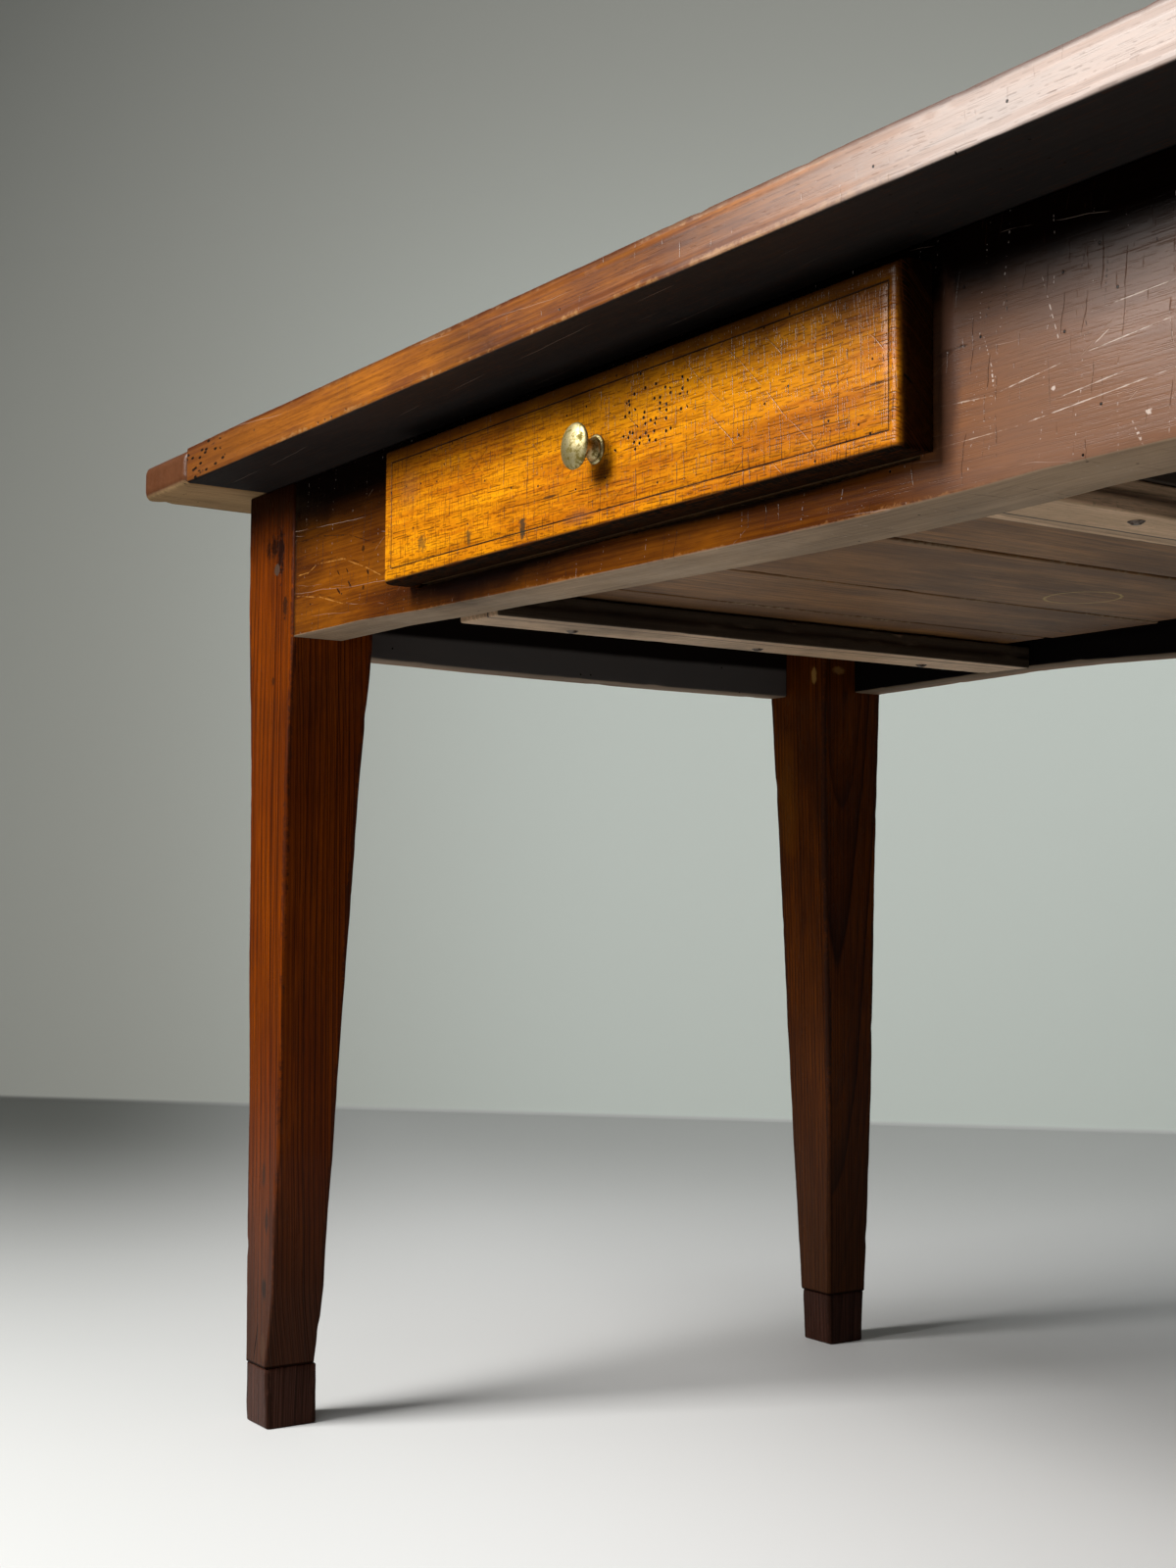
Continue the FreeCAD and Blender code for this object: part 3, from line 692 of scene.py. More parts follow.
class Effects:
    """The node groups that the finishes share, each built once."""

    def __init__(self) -> None:
        """Build every group."""
        self.rings = self._make("Growth rings", {"Vector": "Vector", "Pith": "Vector", "Spacing": "Float",
                                                 "Wander": "Float"}, ("Ring", "Tone"), self._rings)
        self.fibres = self._make("Wood fibres", {"Vector": "Vector"}, ("Fibre", "Fleck", "Cloud"),
                                 self._fibres)
        self.strokes = self._make("Strokes", {"Vector": "Vector", "Turn": "Float", "Spacing": "Float",
                                              "Width": "Float", "Length": "Float", "Keep": "Float",
                                              "Bend": "Float", "Seed": "Float"}, ("Mask",), self._strokes)
        self.holes = self._make("Worm holes", {"Vector": "Vector", "Amount": "Float", "Size": "Float"},
                                ("Mask",), self._holes)
        self.blotch = self._make("Blotch", {"Vector": "Vector", "Centre": "Vector", "Reach": "Vector",
                                            "Tilt": "Vector", "Soft": "Float", "Ragged": "Float",
                                            "Grit": "Float"},
                                 ("Mask", "Rim"), self._blotch)
        self.wear = self._make("Arris wear", {"Vector": "Vector", "Arris": "Float", "Amount": "Float"},
                               ("Mask",), self._wear)

    def _make(self, title: str, inputs: dict[str, str], outputs: tuple[str, ...],
              body: object) -> bpy.types.NodeTree:
        """Build one group with named sockets.

        Args:
            title: The group's name.
            inputs: Socket kinds by name.
            outputs: The names of its values.
            body: A method that takes the sheet and the input node's outputs
                and returns the output sockets in order.

        Returns:
            The finished tree.
        """
        tree = bpy.data.node_groups.new(title, "ShaderNodeTree")
        for name, kind in inputs.items():
            tree.interface.new_socket(name, in_out="INPUT", socket_type="NodeSocket" + kind)
        for name in outputs:
            tree.interface.new_socket(name, in_out="OUTPUT", socket_type="NodeSocketFloat")
        sheet = Sheet(tree)
        entry = tree.nodes.new("NodeGroupInput")
        leave = tree.nodes.new("NodeGroupOutput")
        for socket, value in zip(leave.inputs, body(sheet, entry.outputs)):
            tree.links.new(value, socket)
        return tree

    def _rings(self, sheet: Sheet, given: bpy.types.NodeOutputs) -> tuple[Socket, ...]:
        """Growth rings about a wandering pith line along X.

        r = sqrt(y^2 + z^2) about the pith, t = r / spacing with slow noise, and
        each ring darkens towards its outer side and ends sharply.

        Args:
            sheet: The group's nodes.
            given: Its inputs.

        Returns:
            Its outputs, in order.
        """
        vector = given["Vector"]
        slow = sheet.put("ShaderNodeTexNoise", {"Vector": sheet.stretch(vector, (1.3, 5.0, 5.0)),
                                                "Scale": 1.0, "Detail": 2.0})
        centred = sheet.put("ShaderNodeVectorMath", {0: slow.outputs[1], 1: (0.5, 0.5, 0.5)},
                            operation="SUBTRACT").outputs[0]
        moved = sheet.put("ShaderNodeVectorMath", {0: centred, "Scale": given["Wander"]},
                          operation="SCALE").outputs[0]
        placed = sheet.put("ShaderNodeVectorMath", {0: vector, 1: moved}, operation="ADD").outputs[0]
        placed = sheet.put("ShaderNodeVectorMath", {0: placed, 1: given["Pith"]},
                           operation="SUBTRACT").outputs[0]
        parts = sheet.put("ShaderNodeSeparateXYZ", {0: placed})
        radius = sheet.math("SQRT", sheet.plus(sheet.times(parts.outputs[1], parts.outputs[1]),
                                               sheet.times(parts.outputs[2], parts.outputs[2])))
        turns = sheet.plus(sheet.math("DIVIDE", radius, given["Spacing"]),
                           sheet.times(sheet.noise(sheet.stretch(vector, (2.0, 14.0, 14.0)), 1.0, 3.0), 1.6))
        whole = sheet.math("FLOOR", turns)
        part = sheet.math("FRACT", turns)
        chance = sheet.put("ShaderNodeTexWhiteNoise", {"W": whole}, noise_dimensions="1D").outputs[0]
        late = sheet.times(sheet.math("POWER", part, 2.4), sheet.remap(part, 0.9, 1.0, 1.0, 0.0))
        return sheet.times(late, sheet.remap(chance, 0.0, 1.0, 0.45, 1.25, False)), chance

    def _fibres(self, sheet: Sheet, given: bpy.types.NodeOutputs) -> tuple[Socket, ...]:
        """Fine streaks, short flecks and slow clouds, all drawn out along X.

        Args:
            sheet: The group's nodes.
            given: Its inputs.

        Returns:
            Its outputs, in order.
        """
        vector = given["Vector"]
        fibre = sheet.noise(sheet.stretch(vector, (9.0, 460.0, 460.0)), 1.0, 3.0, 0.62)
        fleck = sheet.noise(sheet.stretch(vector, (95.0, 620.0, 620.0)), 1.0, 2.0, 0.55)
        cloud = sheet.noise(sheet.stretch(vector, (7.0, 20.0, 20.0)), 1.0, 4.0, 0.6)
        return fibre, sheet.remap(fleck, 0.5, 0.72), cloud

    def _strokes(self, sheet: Sheet, given: bpy.types.NodeOutputs) -> tuple[Socket, ...]:
        """Fine broken lines at an angle to the grain, on any face that lies along it.

        With w = y + z, v = w cos(turn) + x sin(turn) counts the lines and
        u = x cos(turn) - w sin(turn) runs along them. Each cell of v holds one
        line at a chance place, kept where noise over u is high.

        Args:
            sheet: The group's nodes.
            given: Its inputs.

        Returns:
            Its outputs, in order.
        """
        vector = given["Vector"]
        parts = sheet.put("ShaderNodeSeparateXYZ", {0: vector}).outputs
        across = sheet.plus(parts[1], parts[2])
        cosine, sine = sheet.math("COSINE", given["Turn"]), sheet.math("SINE", given["Turn"])
        count = sheet.plus(sheet.times(across, cosine), sheet.times(parts[0], sine))
        run = sheet.math("SUBTRACT", sheet.times(parts[0], cosine), sheet.times(across, sine))
        bend = sheet.math("SUBTRACT", sheet.noise(vector, 16.0, 3.0, 0.6), 0.5)
        count = sheet.plus(count, sheet.times(bend, given["Bend"]))
        count = sheet.math("DIVIDE", count, given["Spacing"])
        cell = sheet.plus(sheet.math("FLOOR", count), given["Seed"])
        chance = sheet.put("ShaderNodeTexWhiteNoise", {"W": cell}, noise_dimensions="1D")
        middle = sheet.remap(chance.outputs[0], 0.0, 1.0, 0.2, 0.8, False)
        away = sheet.math("ABSOLUTE", sheet.math("SUBTRACT", sheet.math("FRACT", count), middle))
        line = sheet.remap(sheet.times(away, given["Spacing"]), 0.0, given["Width"], 1.0, 0.0)
        place = sheet.put("ShaderNodeCombineXYZ", {0: sheet.math("DIVIDE", run, given["Length"]),
                                                   1: sheet.times(cell, 7.31), 2: given["Seed"]}).outputs[0]
        kept = sheet.remap(sheet.noise(place, 1.0, 2.0, 0.6), given["Keep"], sheet.plus(given["Keep"], 0.07))
        share = sheet.put("ShaderNodeSeparateColor", {0: chance.outputs[1]}).outputs[1]
        return (sheet.times(sheet.times(line, kept), sheet.remap(share, 0.0, 1.0, 0.35, 1.0, False)),)

    def _holes(self, sheet: Sheet, given: bpy.types.NodeOutputs) -> tuple[Socket, ...]:
        """Small round holes in clusters, laid out over x and y + z on any face along the grain.

        Few cells keep their hole, more where slow noise is high.

        Args:
            sheet: The group's nodes.
            given: Its inputs.

        Returns:
            Its outputs, in order.
        """
        parts = sheet.put("ShaderNodeSeparateXYZ", {0: given["Vector"]}).outputs
        flat = sheet.put("ShaderNodeCombineXYZ", {0: parts[0], 1: sheet.plus(parts[1], parts[2])}).outputs[0]
        cells = sheet.put("ShaderNodeTexVoronoi", {"Vector": flat, "Scale": 95.0}, voronoi_dimensions="2D",
                          feature="F1")
        chance = sheet.put("ShaderNodeSeparateColor", {0: cells.outputs[1]}).outputs[0]
        region = sheet.noise(flat, 14.0, 2.0)
        limit = sheet.math("SUBTRACT", 1.10, sheet.times(given["Amount"], region))
        kept = sheet.math("GREATER_THAN", chance, limit)
        edge = sheet.remap(cells.outputs[0], sheet.times(given["Size"], 0.6), given["Size"], 1.0, 0.0)
        return (sheet.times(kept, edge),)

    def _blotch(self, sheet: Sheet, given: bpy.types.NodeOutputs) -> tuple[Socket, ...]:
        """A ragged, tilted patch and its rim: d = |(p - centre) / reach| plus noise.

        Args:
            sheet: The group's nodes.
            given: Its inputs.

        Returns:
            Its outputs, in order.
        """
        vector = given["Vector"]
        away = sheet.put("ShaderNodeVectorMath", {0: vector, 1: given["Centre"]},
                         operation="SUBTRACT").outputs[0]
        away = sheet.put("ShaderNodeVectorRotate", {"Vector": away, "Rotation": given["Tilt"]},
                         rotation_type="EULER_XYZ").outputs[0]
        away = sheet.put("ShaderNodeVectorMath", {0: away, 1: given["Reach"]}, operation="DIVIDE").outputs[0]
        distance = sheet.put("ShaderNodeVectorMath", {0: away}, operation="LENGTH").outputs[1]
        rough = sheet.math("SUBTRACT", sheet.noise(vector, given["Grit"], 3.0, 0.6), 0.5)
        distance = sheet.plus(distance, sheet.times(rough, given["Ragged"]))
        mask = sheet.remap(distance, sheet.math("SUBTRACT", 1.0, given["Soft"]), 1.0, 1.0, 0.0)
        rim = sheet.remap(sheet.math("ABSOLUTE", sheet.math("SUBTRACT", distance, 1.0)), 0.0,
                          given["Soft"], 1.0, 0.0)
        return mask, rim

    def _wear(self, sheet: Sheet, given: bpy.types.NodeOutputs) -> tuple[Socket, ...]:
        """Where an arris is rubbed through: the attribute, broken up by noise.

        Args:
            sheet: The group's nodes.
            given: Its inputs.

        Returns:
            Its outputs, in order.
        """
        broken = sheet.noise(given["Vector"], 170.0, 5.0, 0.7)
        slow = sheet.noise(given["Vector"], 11.0, 2.0)
        change = sheet.math("SUBTRACT", sheet.plus(broken, slow), 1.0)
        level = sheet.plus(given["Arris"], sheet.times(change, 1.7))
        limit = sheet.math("SUBTRACT", 1.25, given["Amount"])
        return (sheet.remap(level, limit, sheet.plus(limit, 0.35)),)


@dataclass(frozen=True)
class Strokes:
    """Many fine lines of one kind, such as scratches, crackle or pale streaks."""

    turn: float
    spacing: float
    width: float
    length: float
    keep: float
    colour: Colour
    strength: float = 1.0
    bend: float = 4.0 * MM
    depth: float = 0.5
    seed: float = 0.0


class MarkKind(Enum):
    """What a listed mark is: a patch, or only its outline."""

    PATCH = "Mask"
    OUTLINE = "Rim"


@dataclass(frozen=True)
class Mark:
    """One stain, chip, hole, chalk line, painted shadow or painted sheen at a known place on the table."""

    place: Place
    reach: Place
    colour: Colour
    strength: float = 1.0
    soft: float = 0.4
    ragged: float = 0.8
    kind: MarkKind = MarkKind.PATCH
    sunk: float = 0.0
    tilt: float = 0.0
    grit: float = 160.0
    beads: float = 0.0


def straight_mark(face: float, start: tuple[float, float], stop: tuple[float, float], wide: float, colour: Colour,
            strength: float = 0.9, beads: float = 0.0) -> Mark:
    """A straight line mark on an upright front face: scratches, cracks, and painted highlight and shadow
    lines along the grain.

    Args:
        face: The face's y.
        start: The x and z of one end.
        stop: The x and z of the other end.
        wide: Half its width.
        colour: Its colour.
        strength: How strongly it shows.
        beads: The height of one dash where it is a chain of them, or zero.

    Returns:
        The mark.
    """
    run, rise = stop[0] - start[0], stop[1] - start[1]
    middle = ((start[0] + stop[0]) / 2, face, (start[1] + stop[1]) / 2)
    return Mark(middle, (0.56 * math.hypot(run, rise), 10 * MM, 0.6 * wide), colour, 0.85 * strength,
                soft=0.8, ragged=3.2, sunk=0.3, tilt=math.atan2(rise, run), grit=150.0, beads=beads)


@dataclass(frozen=True)
class WoodFinish:
    """A wood surface: its colours, figure, damage and shine. Colours are linear.

    A fade is an axis, two places on it, a colour and its share at the second
    place. The under colour shows on faces that look down.
    """

    title: str
    light: Colour
    dark: Colour
    line: Colour
    grain: Along = Along.X
    pith: tuple[float, float] = (0.03, 0.08)
    spacing: float = 4.0 * MM
    wander: float = 30.0 * MM
    ring_share: float = 0.6
    fibre_share: float = 0.35
    fleck_share: float = 0.2
    cloud_share: float = 0.5
    grime: Colour = (0.012, 0.006, 0.004)
    grime_share: float = 0.35
    worn: Colour = (0.42, 0.19, 0.06)
    wear: float = 0.3
    strokes: tuple[Strokes, ...] = ()
    holes: float = 0.0
    cluster: tuple[Place, Place] | None = None
    hole_shape: Place = (2.1, 2.1, 2.1)
    under: Colour = (0.0, 0.0, 0.0)
    under_share: float = 0.0
    rough: float = 0.42
    shine: float = 0.36
    ring_relief: float = 0.25
    relief: float = 0.35
    groove: float = 0.0
    fades: tuple[tuple[int, float, float, Colour, float], ...] = ()
    marks: tuple[Mark, ...] = ()


@dataclass
class Coat:
    """A wood surface while it is built up, layer over layer.

    The colour, height, roughness and gloss change with each layer. The fibre,
    the body, which is the tone of the bare wood, and the dirt stay.
    """

    sheet: Sheet
    spot: Socket
    vector: Socket
    fibre: Socket
    body: Socket
    dirt: Socket
    colour: Socket
    sunk: Socket
    rough: Socket
    gloss: object

    def paint(self, share: object, shade: object) -> None:
        """Cover the colour by a share of another one."""
        self.colour = self.sheet.mix(share, self.colour, shade)

    def sink(self, mask: Socket, depth: float) -> None:
        """Lower the surface by a depth where the mask is 1."""
        self.sunk = self.sheet.plus(self.sunk, self.sheet.times(mask, -depth))

    def place(self, axis: int) -> Socket:
        """The place on one axis of the table."""
        return self.sheet.put("ShaderNodeSeparateXYZ", {0: self.spot}).outputs[axis]


class Workshop:
    """Makes materials from finishes."""

    def __init__(self) -> None:
        """Build the shared groups."""
        self.effects = Effects()
        self.made: dict[str, bpy.types.Material] = {}

    def _start(self, title: str) -> tuple[bpy.types.Material, Sheet, bpy.types.Node, Socket]:
        """A new material with its shader and the object coordinates.

        Args:
            title: Its name.

        Returns:
            The material, its nodes, its shader and the coordinates.
        """
        material = bpy.data.materials.new(title)
        material.use_nodes = True
        sheet = Sheet(material.node_tree)
        shader = material.node_tree.nodes["Principled BSDF"]
        spot = sheet.put("ShaderNodeTexCoord").outputs["Object"]
        return material, sheet, shader, spot

    def _grain_vector(self, sheet: Sheet, spot: Socket, grain: Along) -> Socket:
        """Object coordinates turned so that the grain runs along X.

        Args:
            sheet: The material's nodes.
            spot: The object coordinates.
            grain: Which way the grain runs.

        Returns:
            The turned coordinates.
        """
        if grain is Along.X:
            return spot
        parts = sheet.put("ShaderNodeSeparateXYZ", {0: spot}).outputs
        order = (1, 2, 0) if grain is Along.Y else (2, 0, 1)
        turned = {place: parts[axis] for place, axis in enumerate(order)}
        return sheet.put("ShaderNodeCombineXYZ", turned).outputs[0]

    def wood(self, finish: WoodFinish) -> bpy.types.Material:
        """The material of a wood finish, made once.

        Args:
            finish: What the wood looks like.

        Returns:
            Its material.
        """
        if finish.title in self.made:
            return self.made[finish.title]
        material, sheet, shader, spot = self._start(finish.title)
        coat = self._figure(finish, sheet, spot)
        for layer in (self._rub, self._fade, self._underside_bare_and_shaded, self._line, self._bore, self._groove,
                      self._mark):
            layer(coat, finish)
        bump = sheet.put("ShaderNodeBump", {"Height": coat.sunk, "Strength": finish.relief,
                                            "Distance": BUMP_REACH})
        for title, value in (("Base Color", coat.colour), ("Roughness", coat.rough),
                             ("Normal", bump.outputs[0]), ("Specular IOR Level", coat.gloss)):
            sheet.feed(shader.inputs[title], value)
        self.made[finish.title] = material
        return material

    def _figure(self, finish: WoodFinish, sheet: Sheet, spot: Socket) -> Coat:
        """The bare wood: fibres and clouds of tone, growth rings, flecks and dirt.

        Args:
            finish: What the wood looks like.
            sheet: The material's nodes.
            spot: The object coordinates.

        Returns:
            The first layer.
        """
        vector = self._grain_vector(sheet, spot, finish.grain)
        rings = sheet.group(self.effects.rings, {"Vector": vector, "Pith": (0.0, *finish.pith),
                                                 "Spacing": finish.spacing, "Wander": finish.wander}).outputs
        fibres = sheet.group(self.effects.fibres, {"Vector": vector}).outputs
        body = sheet.plus(sheet.times(sheet.remap(fibres["Fibre"], 0.3, 0.7), finish.fibre_share),
                          sheet.times(sheet.remap(fibres["Cloud"], 0.32, 0.68), finish.cloud_share))
        body = sheet.plus(body, sheet.times(rings["Tone"], 0.15))
        colour = sheet.mix(sheet.remap(body, 0.1, 0.9, smooth=False), finish.light, finish.dark)
        colour = sheet.mix(sheet.times(rings["Ring"], finish.ring_share), colour, finish.line)
        colour = sheet.mix(sheet.times(fibres["Fleck"], finish.fleck_share), colour, finish.line)
        dirt = sheet.remap(sheet.noise(spot, 6.0, 5.0, 0.65), 0.45, 0.75)
        colour = sheet.mix(sheet.times(dirt, finish.grime_share), colour, finish.grime)
        sunk = sheet.times(rings["Ring"], -finish.ring_relief)
        sunk = sheet.plus(sunk, sheet.times(fibres["Fibre"], 0.35))
        rough = sheet.plus(finish.rough, sheet.times(sheet.math("SUBTRACT", fibres["Cloud"], 0.5), 0.25))
        return Coat(sheet, spot, vector, fibres["Fibre"], body, dirt, colour, sunk, rough, finish.shine)

    def _rub(self, coat: Coat, finish: WoodFinish) -> None:
        """Arrises rubbed through to the bare wood.

        Args:
            coat: The layers so far.
            finish: What the wood looks like.
        """
        if not finish.wear:
            return
        sheet = coat.sheet
        arris = sheet.put("ShaderNodeAttribute", attribute_name="arris").outputs["Fac"]
        mask = sheet.group(self.effects.wear, {"Vector": coat.spot, "Arris": arris,
                                               "Amount": finish.wear}).outputs[0]
        coat.paint(mask, sheet.mix(coat.fibre, finish.worn, finish.dark))
        coat.sink(mask, 0.08)
        coat.rough = sheet.plus(coat.rough, sheet.times(mask, 0.12))

    def _fade(self, coat: Coat, finish: WoodFinish) -> None:
        """Colour that comes in along an axis and dulls the gloss: stains, painted shade and painted sheen.

        Args:
            coat: The layers so far.
            finish: What the wood looks like.
        """
        sheet = coat.sheet
        for axis, start, stop, shade, share in finish.fades:
            drift = sheet.times(sheet.math("SUBTRACT", coat.dirt, 0.5), 0.2 * abs(stop - start))
            bent = sheet.plus(coat.place(axis), drift)
            amount = sheet.times(sheet.remap(bent, float(start), float(stop)), share)
            coat.paint(amount, shade)
            coat.gloss = sheet.times(coat.gloss, sheet.math("SUBTRACT", 1.0, sheet.times(amount, 0.9)))

    def _underside_bare_and_shaded(self, coat: Coat, finish: WoodFinish) -> None:
        """The under colour, rougher and duller, on faces that look down: bare wood on most pieces, near black
        under the top, and painted shade under the drawer lip.

        Args:
            coat: The layers so far.
            finish: What the wood looks like.
        """
        if not finish.under_share:
            return
        sheet = coat.sheet
        normal = sheet.put("ShaderNodeNewGeometry").outputs["Normal"]
        facing = sheet.put("ShaderNodeSeparateXYZ", {0: normal}).outputs[2]
        below = sheet.remap(facing, -0.35, -0.8)
        bare = sheet.mix(sheet.remap(coat.body, 0.0, 1.0, smooth=False), finish.under,
                         tuple(0.5 * part for part in finish.under))
        coat.paint(sheet.times(below, finish.under_share), bare)
        coat.rough = sheet.plus(coat.rough, sheet.times(below, 0.4))
        coat.gloss = sheet.times(coat.gloss, sheet.remap(below, 0.0, 1.0, 1.0, 0.25))

    def _line(self, coat: Coat, finish: WoodFinish) -> None:
        """Every kind of fine line: pores, hairlines, crackle and scratches.

        Args:
            coat: The layers so far.
            finish: What the wood looks like.
        """
        sheet = coat.sheet
        for stroke in finish.strokes:
            mask = sheet.group(self.effects.strokes, {
                "Vector": coat.vector, "Turn": stroke.turn, "Spacing": stroke.spacing, "Width": stroke.width,
                "Length": stroke.length, "Keep": stroke.keep, "Bend": stroke.bend,
                "Seed": stroke.seed}).outputs[0]
            coat.paint(sheet.times(mask, stroke.strength), stroke.colour)
            coat.sink(mask, stroke.depth)

    def _bore(self, coat: Coat, finish: WoodFinish) -> None:
        """Worm holes, single and in one dense cluster of smaller ones.

        Args:
            coat: The layers so far.
            finish: What the wood looks like.
        """
        if not finish.holes:
            return
        sheet, holes = coat.sheet, self.effects.holes
        mask = sheet.group(holes, {"Vector": coat.vector, "Amount": finish.holes, "Size": 0.09}).outputs[0]
        if finish.cluster:
            centre, reach = finish.cluster
            near = sheet.group(self.effects.blotch, {
                "Vector": coat.spot, "Centre": centre, "Reach": reach, "Tilt": (0.0, 0.0, 0.0), "Soft": 0.9,
                "Ragged": 0.8, "Grit": 60.0}).outputs["Mask"]
            small = sheet.stretch(coat.vector, finish.hole_shape)
            many = sheet.group(holes, {"Vector": small, "Amount": sheet.times(near, 1.5),
                                       "Size": 0.26}).outputs[0]
            mask = sheet.most(mask, many)
        coat.paint(mask, BLACK)
        coat.sink(mask, 3.0)

    def _groove(self, coat: Coat, finish: WoodFinish) -> None:
        """Dirt in the incised line."""
        if finish.groove:
            cut = coat.sheet.put("ShaderNodeAttribute", attribute_name="groove").outputs["Fac"]
            coat.paint(coat.sheet.times(cut, finish.groove), BLACK)

    def _mark(self, coat: Coat, finish: WoodFinish) -> None:
        """The listed marks, some broken into a chain of dashes.

        Args:
            coat: The layers so far.
            finish: What the wood looks like.
        """
        sheet = coat.sheet
        for mark in finish.marks:
            patch = sheet.group(self.effects.blotch, {
                "Vector": coat.spot, "Centre": mark.place, "Reach": mark.reach, "Tilt": (0.0, mark.tilt, 0.0),
                "Soft": mark.soft, "Ragged": mark.ragged, "Grit": mark.grit}).outputs
            mask = sheet.times(patch[mark.kind.value], mark.strength)
            if mark.beads:
                turn = sheet.plus(sheet.times(coat.place(Along.Z.value), 2 * math.pi / mark.beads),
                                  sheet.times(sheet.noise(coat.spot, 300.0, 2.0), 7.0))
                mask = sheet.times(mask, sheet.remap(sheet.math("SINE", turn), -0.1, 0.4))
            coat.paint(mask, mark.colour)
            if mark.sunk:
                coat.sink(mask, mark.sunk)

    def metal(self, title: str, clean: Colour, tarnish: Colour, share: float,
              rough: float) -> bpy.types.Material:
        """Old metal: bright where rubbed, tarnished in cloudy patches.

        Args:
            title: The material's name.
            clean: The colour of the rubbed metal.
            tarnish: The colour of its dull patches.
            share: How much of it is dull, from 0 to 1.
            rough: The roughness of the rubbed metal.

        Returns:
            The material.
        """
        material, sheet, shader, spot = self._start(title)
        cloud = sheet.noise(spot, 240.0, 4.0, 0.6)
        fine = sheet.noise(spot, 900.0, 3.0, 0.6)
        dull = sheet.remap(sheet.plus(sheet.times(cloud, 0.7), sheet.times(fine, 0.3)), 0.72 - 0.4 * share,
                           0.9 - 0.4 * share)
        colour = sheet.mix(dull, clean, tarnish)
        sheet.feed(shader.inputs["Base Color"], colour)
        sheet.feed(shader.inputs["Roughness"], sheet.plus(rough, sheet.times(dull, 0.25)))
        shader.inputs["Metallic"].default_value = METAL_SHARE
        bump = sheet.put("ShaderNodeBump", {"Height": fine, "Strength": METAL_RELIEF,
                                            "Distance": METAL_BUMP_REACH})
        sheet.feed(shader.inputs["Normal"], bump.outputs[0])
        self.made[title] = material
        return material


def dress(piece: bpy.types.Object, material: bpy.types.Material) -> None:
    """Give every face of a piece one material."""
    piece.data.materials.clear()
    piece.data.materials.append(material)


def dress_node(node: str, material: bpy.types.Material) -> None:
    """Give a piece of the frame its finish, in all its slots.

    Args:
        node: Its name.
        material: Its finish.
    """
    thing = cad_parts[node]
    if not thing.material_slots:
        thing.data.materials.append(material)
    for slot in thing.material_slots:
        slot.material = material


def stand_in(piece: bpy.types.Object, material: bpy.types.Material, body: str, slot: str,
             *nodes: str) -> None:
    """Finish a new piece, set it on its body, and let it stand for nodes of the frame.

    Args:
        piece: The new piece.
        material: Its material.
        body: The body that it rides on.
        slot: The record's material slot; not used.
        nodes: The nodes that it replaces.
    """
    dress(piece, material)
    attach(piece, body)
    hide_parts(*nodes)


def face_vectors(piece: bpy.types.Object, title: str) -> np.ndarray:
    """One vector for each face of a piece, such as its "center" or its "normal".

    Args:
        piece: Any mesh.
        title: What is read.

    Returns:
        One row for each face.
    """
    values = np.empty(3 * len(piece.data.polygons))
    piece.data.polygons.foreach_get(title, values)
    return values.reshape(-1, 3)


def dress_some(piece: bpy.types.Object, material: bpy.types.Material, chosen: np.ndarray) -> None:
    """Give some faces of a piece a second material.

    Args:
        piece: A piece that has its first material.
        material: The second one.
        chosen: True for each face that gets it.
    """
    piece.data.materials.append(material)
    piece.data.polygons.foreach_set("material_index", chosen.astype(np.int32))


# The sides of the table that the photograph shows, as places on its frame

FRONT_LOW, FRONT_HIGH = span("apron_front")
LEG_LOW, LEG_HIGH = span("leg_front_left")
FACE = float(LEG_LOW[1])

HALF_TURN = math.pi / 2

# Fine lines: turn, spacing, width, length, threshold, colour, strength

GRAIN_DASHES = Strokes(0.02, 1.9 * MM, 0.62 * MM, 14 * MM, 0.47, (0.065, 0.016, 0.001), 0.85,
                       bend=4 * MM, depth=0.35, seed=1.0)
GRAIN_LINES = Strokes(0.0, 2.1 * MM, 0.80 * MM, 160 * MM, 0.40, (0.022, 0.005, 0.001), 0.9,
                      bend=1.8 * MM, depth=0.3, seed=21.0)
HAIRLINES = Strokes(HALF_TURN, 5.5 * MM, 0.55 * MM, 15 * MM, 0.49, (0.035, 0.010, 0.002), 1.0,
                    bend=10 * MM, depth=0.7, seed=2.0)
FINE_CRACKLE = Strokes(HALF_TURN - 0.06, 2.4 * MM, 0.52 * MM, 5 * MM, 0.49, (0.060, 0.017, 0.002), 0.75,
                       bend=3 * MM, depth=0.5, seed=3.0)
SLOPING = Strokes(0.75, 21 * MM, 0.48 * MM, 40 * MM, 0.55, (0.04, 0.012, 0.002), 0.9,
                  bend=8 * MM, depth=0.8, seed=4.0)
DROPPING = Strokes(-0.6, 17 * MM, 0.46 * MM, 30 * MM, 0.56, (0.04, 0.012, 0.002), 0.9,
                   bend=8 * MM, depth=0.8, seed=5.0)
# The pale scratches: pale partly from the scratched finish and partly as painted highlight along their edges.
LONG_SCRATCHES = Strokes(0.06, 17 * MM, 0.28 * MM, 150 * MM, 0.55, (0.70, 0.52, 0.42), 0.55,
                         bend=5 * MM, depth=0.6, seed=6.0)
SCRATCHES = Strokes(0.12, 26 * MM, 0.26 * MM, 60 * MM, 0.56, (0.70, 0.52, 0.42), 0.6,
                    bend=6 * MM, depth=0.6, seed=7.0)
STEEP_SCRATCHES = Strokes(-0.55, 45 * MM, 0.25 * MM, 30 * MM, 0.58, (0.66, 0.50, 0.40), 0.5,
                          bend=8 * MM, depth=0.6, seed=12.0)
OLD_CRACKS = Strokes(HALF_TURN + 0.1, 13 * MM, 0.40 * MM, 26 * MM, 0.53, (0.02, 0.008, 0.005), 0.9,
                     bend=16 * MM, depth=1.0, seed=8.0)
# Pale dashes along the old cracks: painted highlights on their edges.
BEADED = Strokes(HALF_TURN + 0.1, 24 * MM, 0.42 * MM, 2.2 * MM, 0.58, (0.80, 0.68, 0.62), 0.75,
                 bend=20 * MM, depth=0.9, seed=9.0)
